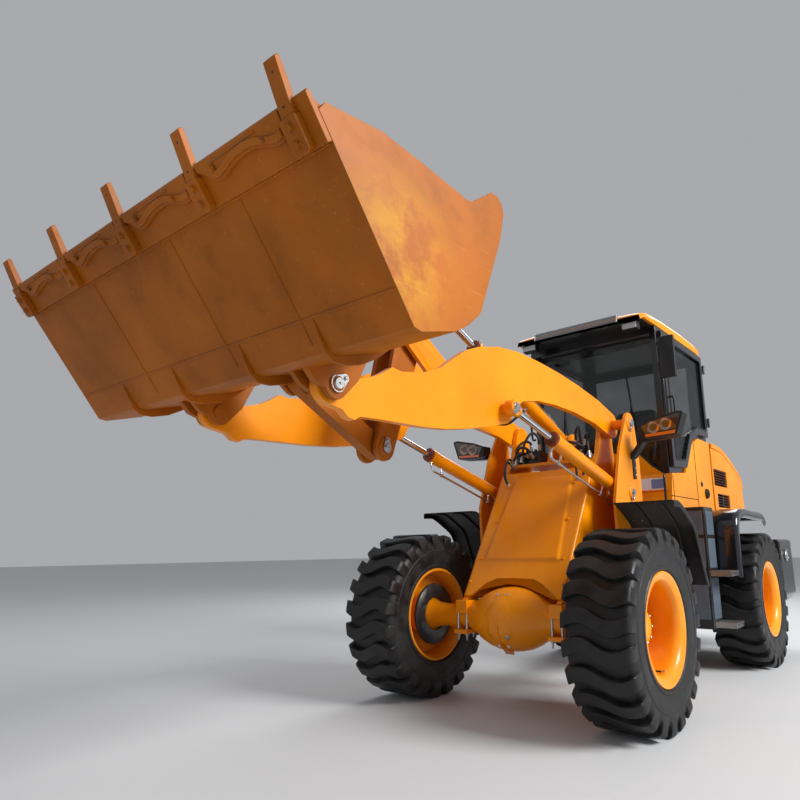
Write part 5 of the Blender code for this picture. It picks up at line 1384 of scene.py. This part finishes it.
mirror_glass, _, _ = new_material("mirror_glass", Base_Color=linear("#C9CED2"), Metallic=1.0, Roughness=0.03)
for hand, side in HANDS:
    arm = tube(route(side, (-1.462, 0.624, 2.790), (-1.440, 0.680, 2.790), (-1.385, 0.715, 2.790)), 0.009, 12)
    head = [side_block(side, (-1.394, 0.664, 2.445), (-1.358, 0.794, 2.805)), arm,
            side_block(side, (-1.4725, 0.6205, 2.752), (-1.4555, 0.631, 2.828))]
    item = piece(f"{hand}_mirror_head", head, black_plastic, "rear_frame", bevel=0.010, segments=3)
    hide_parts(f"mirror_{hand}")
    pane = side_block(side, (-1.3965, 0.674, 2.457), (-1.3935, 0.784, 2.793))
    piece(f"{hand}_mirror_glass", [pane], mirror_glass, "rear_frame", bevel=0.002)
rails = []
for side in (1, -1):
    low_rail = route(side, (-1.452, 0.600, 1.430), (-1.425, 0.604, 1.435), (-1.420, 0.606, 1.500),
                     (-1.420, 0.606, 1.560), (-1.425, 0.604, 1.630), (-1.452, 0.600, 1.636))
    post_rail = route(side, (-1.480, 0.6225, 2.080), (-1.462, 0.645, 2.085), (-1.455, 0.652, 2.200),
                      (-1.450, 0.652, 2.450), (-1.455, 0.645, 2.600), (-1.466, 0.6225, 2.610))
    rails += [tube(low_rail, 0.010, 12), tube(post_rail, 0.011, 12)]
piece("grab_rails", rails, cab_black, "rear_frame", smooth=60)


# ---------------------------------------------------------------- rear fenders
# A rear fender is a thick glossy black moulding that sweeps up from the ladder and back over the
# tyre. Its outer edge rolls down in a wide soft lip, and four bolts hold it to the cab's floor.

gloss_black, _, _ = new_material("glossy_black_moulding", Base_Color=linear("#15171C"), Roughness=0.16,
                                 Coat_Weight=0.6, Coat_Roughness=0.05)
REAR_FENDER = [(-1.940, 0.800), (-1.946, 1.030), (-1.965, 1.240), (-2.060, 1.345), (-2.240, 1.3785),
               (-2.560, 1.3715), (-2.900, 1.3645), (-3.020, 1.310)]
for hand, side in HANDS:
    sheet = bent_sheet(REAR_FENDER, 0.6213, 0.999, 0.016, 0.030, side)
    item = piece(f"{hand}_rear_fender", [sheet], gloss_black, "rear_frame", smooth=50)
    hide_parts(f"rear_fender_{hand}")
    heads = []
    for x, z in ((-2.300, 1.378), (-2.500, 1.3735), (-2.700, 1.369), (-2.880, 1.366)):
        heads += bolt(at(x, side * 0.665, z), (0, 0, 1), 0.011)
    piece(f"{hand}_rear_fender_bolts", heads, zinc, "rear_frame")

# ---------------------------------------------------------------- ladders
# Each ladder is a black step box under the door. Its outer face carries grey-blue blank panels
# between two treads of sheared plate, whose teeth keep a muddy boot from slipping.

panel_grey = enamel("panel_grey_enamel", "#56626F", "#4D5965", "#8A857A", "#8A8C8E", 0.32, 0.30, 0.3, 0.3)
for hand, side in HANDS:
    refined(f"ladder_{hand}", 0.004, chassis_black, "rear_frame")
    panels = []
    for low, high in ((0.475, 0.800), (0.880, 1.120), (1.150, 1.345)):
        panels.append(side_block(side, (-1.895, 0.8203, low), (-1.705, 0.8243, high)))
        panels.append(side_block(side, (-1.6798, 0.585, low), (-1.6758, 0.800, high)))
    piece(f"{hand}_ladder_panels", panels, panel_grey, "rear_frame", bevel=0.0015)
    teeth = []
    for z in (0.450, 0.850):
        for x in np.linspace(-1.895, -1.710, 13):
            teeth.append(side_block(side, (x - 0.003, 0.826, z - 0.001), (x + 0.003, 0.985, z + 0.005)))
        for x in (-1.903, -1.702):
            teeth.append(side_block(side, (x - 0.0025, 0.822, z - 0.034), (x + 0.0025, 0.989, z + 0.010)))
    piece(f"{hand}_ladder_treads", teeth, zinc, "rear_frame", bevel=0.001)

# ---------------------------------------------------------------- engine and its cowl
# The engine is one plain casting here. Round it stands a cowl of amber sheet with two banks of
# louvres each side and a black mesh over the radiator at the back.


def cast_surface():
    """Sand-cast iron, oily: dark grey with a 3 mm pebble and darker stained patches."""
    material, tree, shader = new_material("sand_cast_iron", Metallic=0.6, Roughness=0.55)
    place = add(tree, "TexCoord")
    stain = add(tree, "TexNoise", {"Vector": (place, "Object")}, {"Scale": 6.0, "Detail": 7.0})
    tone = add(tree, "Mix", {FACTOR: (stain, "Fac")}, {FIRST: linear("#26282B"), SECOND: linear("#4A4B4D")},
               data_type="RGBA")
    tree.links.new(tone.outputs[MIXED], shader.inputs["Base Color"])
    pebble = add(tree, "TexNoise", {"Vector": (place, "Object")}, {"Scale": 330.0, "Detail": 2.0})
    rise = add(tree, "Bump", {"Height": (pebble, "Fac")}, {"Strength": 0.3, "Distance": 0.001})
    tree.links.new(rise.outputs[0], shader.inputs["Normal"])
    return material


cast_iron = cast_surface()
refined("engine", 0.012, cast_iron, "rear_frame")
refined("engine_cowl", 0.008, amber, "rear_frame", segments=3)
louvres, mesh_wires = [], []
for side in (1, -1):
    for x0, x1, z0, z1 in ((-3.138, -2.692, 1.642, 1.798), (-3.178, -2.762, 1.432, 1.558)):
        for z in np.arange(z0 + 0.016, z1 - 0.008, 0.026):
            blade = [(0.627, z + 0.014), (0.6475, z), (0.6475, z + 0.003), (0.627, z + 0.017)]
            louvres.append(facing_slab(side, blade, x0, x1))
for z in np.arange(1.475, 1.715, 0.020):
    mesh_wires.append(tube([at(-3.7075, -0.448, z), at(-3.7075, 0.448, z)], 0.0025, 6, smooth=False))
for y in np.arange(-0.440, 0.445, 0.020):
    mesh_wires.append(tube([at(-3.7075, y, 1.462), at(-3.7075, y, 1.718)], 0.0025, 6, smooth=False))
piece("cowl_louvres", louvres, chassis_black, "rear_frame")
piece("radiator_mesh", mesh_wires, chassis_black, "rear_frame")
core = [block(at(-3.690, -0.445, 1.465), at(-3.683, 0.445, 1.715))]
core += [block(at(-3.695, y - 0.001, 1.466), at(-3.690, y + 0.001, 1.714)) for y in np.arange(-0.44, 0.445, 0.010)]
piece("radiator_core", core, cast_iron, "rear_frame")

# ---------------------------------------------------------------- engine hood
# The hood is a moulded amber lid hinged behind the cab. A black turning catch holds it down at the
# back.

refined("engine_hood", 0.010, amber, "engine_hood", segments=3)
catch = [lathe([(0.030, 0.0), (0.030, 0.004), (0.024, 0.007), (0.0, 0.007)], at(-3.742, 0, 1.712), (-1, 0, 0.15), 28),
         block(at(-3.7475, -0.012, 1.690), at(-3.7435, 0.012, 1.735))]
piece("hood_catch", catch, black_plastic, "engine_hood")

# ---------------------------------------------------------------- counterweight
# A single casting closes the back, painted black. It has a tow pin in a jaw, a shackle on each
# side, and round tail lamps with red reflectors above them.

refined("counterweight", 0.014, chassis_black, "rear_frame", segments=3)
REAR = -4.120
lamps, bezels, shackles, jaw = [], [], [], []
for side in (1, -1):
    for y in (0.820, 0.690):
        spot = at(REAR + 0.001, side * y, 0.960)
        glass_radius, radius = 0.0416, 0.052
        lamps.append(lathe([(0.0, 0.006), (glass_radius, 0.005), (glass_radius, 0.0)], spot, (-1, 0, 0), 32))
        bezel = [(glass_radius, -0.006), (radius, -0.006), (radius, 0.006), (radius * 0.88, 0.011),
                 (glass_radius, 0.006)]
        bezels.append(lathe(bezel, spot, (-1, 0, 0), 32, closed=True))
    arch = route(side, (-3.780, 0.992, 1.010), (-3.812, 0.994, 0.980), (-3.820, 0.996, 0.930),
                 (-3.780, 0.998, 0.905), (-3.740, 0.996, 0.930), (-3.748, 0.994, 0.980), (-3.780, 0.992, 1.010))
    pin = route(side, (-3.822, 0.992, 1.005), (-3.738, 0.992, 1.005))
    shackles += [tube(arch, 0.009, 12), tube(pin, 0.012, 14, smooth=False)]
for z in (0.640, 0.760):
    jaw.append(block(at(REAR - 0.070, -0.085, z - 0.018), at(REAR + 0.002, 0.085, z + 0.018)))
tow_pin = [(0.018, -0.10), (0.018, 0.10), (0.030, 0.10), (0.030, 0.115)]
jaw.append(lathe(tow_pin, at(REAR - 0.036, 0, 0.700), (0, 0, 1), 24))
piece("tail_lamp_glass", lamps, red_lens, "rear_frame", smooth=60)
piece("tail_lamp_rims", bezels, black_plastic, "rear_frame", smooth=50)
piece("shackles", shackles, zinc, "rear_frame", smooth=60)
piece("tow_jaw", jaw, chassis_black, "rear_frame", bevel=0.003)

# ---------------------------------------------------------------- fuel cap
# A locking plastic fuel cap with a turning grip sits on the left wall, behind the door sill, over
# the tank that the lower cab hides.

cap = [lathe([(0.046, -0.002), (0.046, 0.010), (0.040, 0.020), (0.0, 0.022)], at(-2.420, 0.6405, 1.540), ACROSS, 32),
       lathe([(0.012, 0.018), (0.012, 0.030), (0.0, 0.030)], at(-2.420, 0.6405, 1.540), ACROSS, 16)]
cap.append(block(at(-2.423, 0.6400, 1.515), at(-2.417, 0.668, 1.565)))
piece("fuel_cap", cap, black_plastic, "rear_frame", bevel=0.002)

# ---------------------------------------------------------------- studio
# A pale seamless floor, a large soft light high on the machine's left, a weak one ahead on its right
# and one behind. The camera kneels in front of the machine on its left and looks up along it.

pale, _, _ = new_material("pale_floor", Base_Color=linear("#CBCCCD"), Roughness=0.9, Specular_IOR_Level=0.1)
bpy.ops.mesh.primitive_plane_add(size=120, location=(0, 0, 0))
floor = bpy.context.object
floor.name = "floor"
floor.data.materials.append(pale)

world = bpy.data.worlds.new("studio")
bpy.context.scene.world = world
world.use_nodes = True
sky = world.node_tree.nodes["Background"]
sky.inputs["Color"].default_value = linear("#F2F5FA")
sky.inputs["Strength"].default_value = 0.44


def soft_light(name, place, target, size, power):
    """A square area light at a place, turned to face its target."""
    data = bpy.data.lights.new(name, "AREA")
    data.shape = "SQUARE"
    data.size = size
    data.energy = power
    item = bpy.data.objects.new(name, data)
    bpy.context.scene.collection.objects.link(item)
    item.location = place
    item.rotation_euler = (Vector(target) - Vector(place)).to_track_quat("-Z", "Y").to_euler()


# The plain curve keeps strong paint colours as saturated as they are on the machine.
bpy.context.scene.view_settings.view_transform = "Standard"
soft_light("key", (-1.0, 10.0, 7.5), (0.0, 0.0, 1.6), 5.0, 1800)
soft_light("fill", (9.0, -6.0, 5.0), (1.5, 0.0, 1.6), 7.0, 40)
soft_light("back", (-8.0, -3.0, 7.0), (-1.5, 0.0, 1.5), 6.0, 420)

HEADING = 218.6
RISE = 11.62
ROLL = -0.65
camera_data = bpy.data.cameras.new("camera")
camera_data.lens = 28.90
camera_data.sensor_width = 36.0
camera_data.shift_x = -0.0484
camera_data.shift_y = 0.0216
camera = bpy.data.objects.new("camera", camera_data)
bpy.context.scene.collection.objects.link(camera)
camera.location = (AXLE_X + 3.891, 2.465, 1.055)
aim = Euler((np.radians(90 + RISE), 0, np.radians(HEADING - 90)), "XYZ").to_matrix()
camera.rotation_euler = (aim @ Euler((0, 0, np.radians(ROLL)), "XYZ").to_matrix()).to_euler()
bpy.context.scene.camera = camera

bpy.context.view_layer.update()
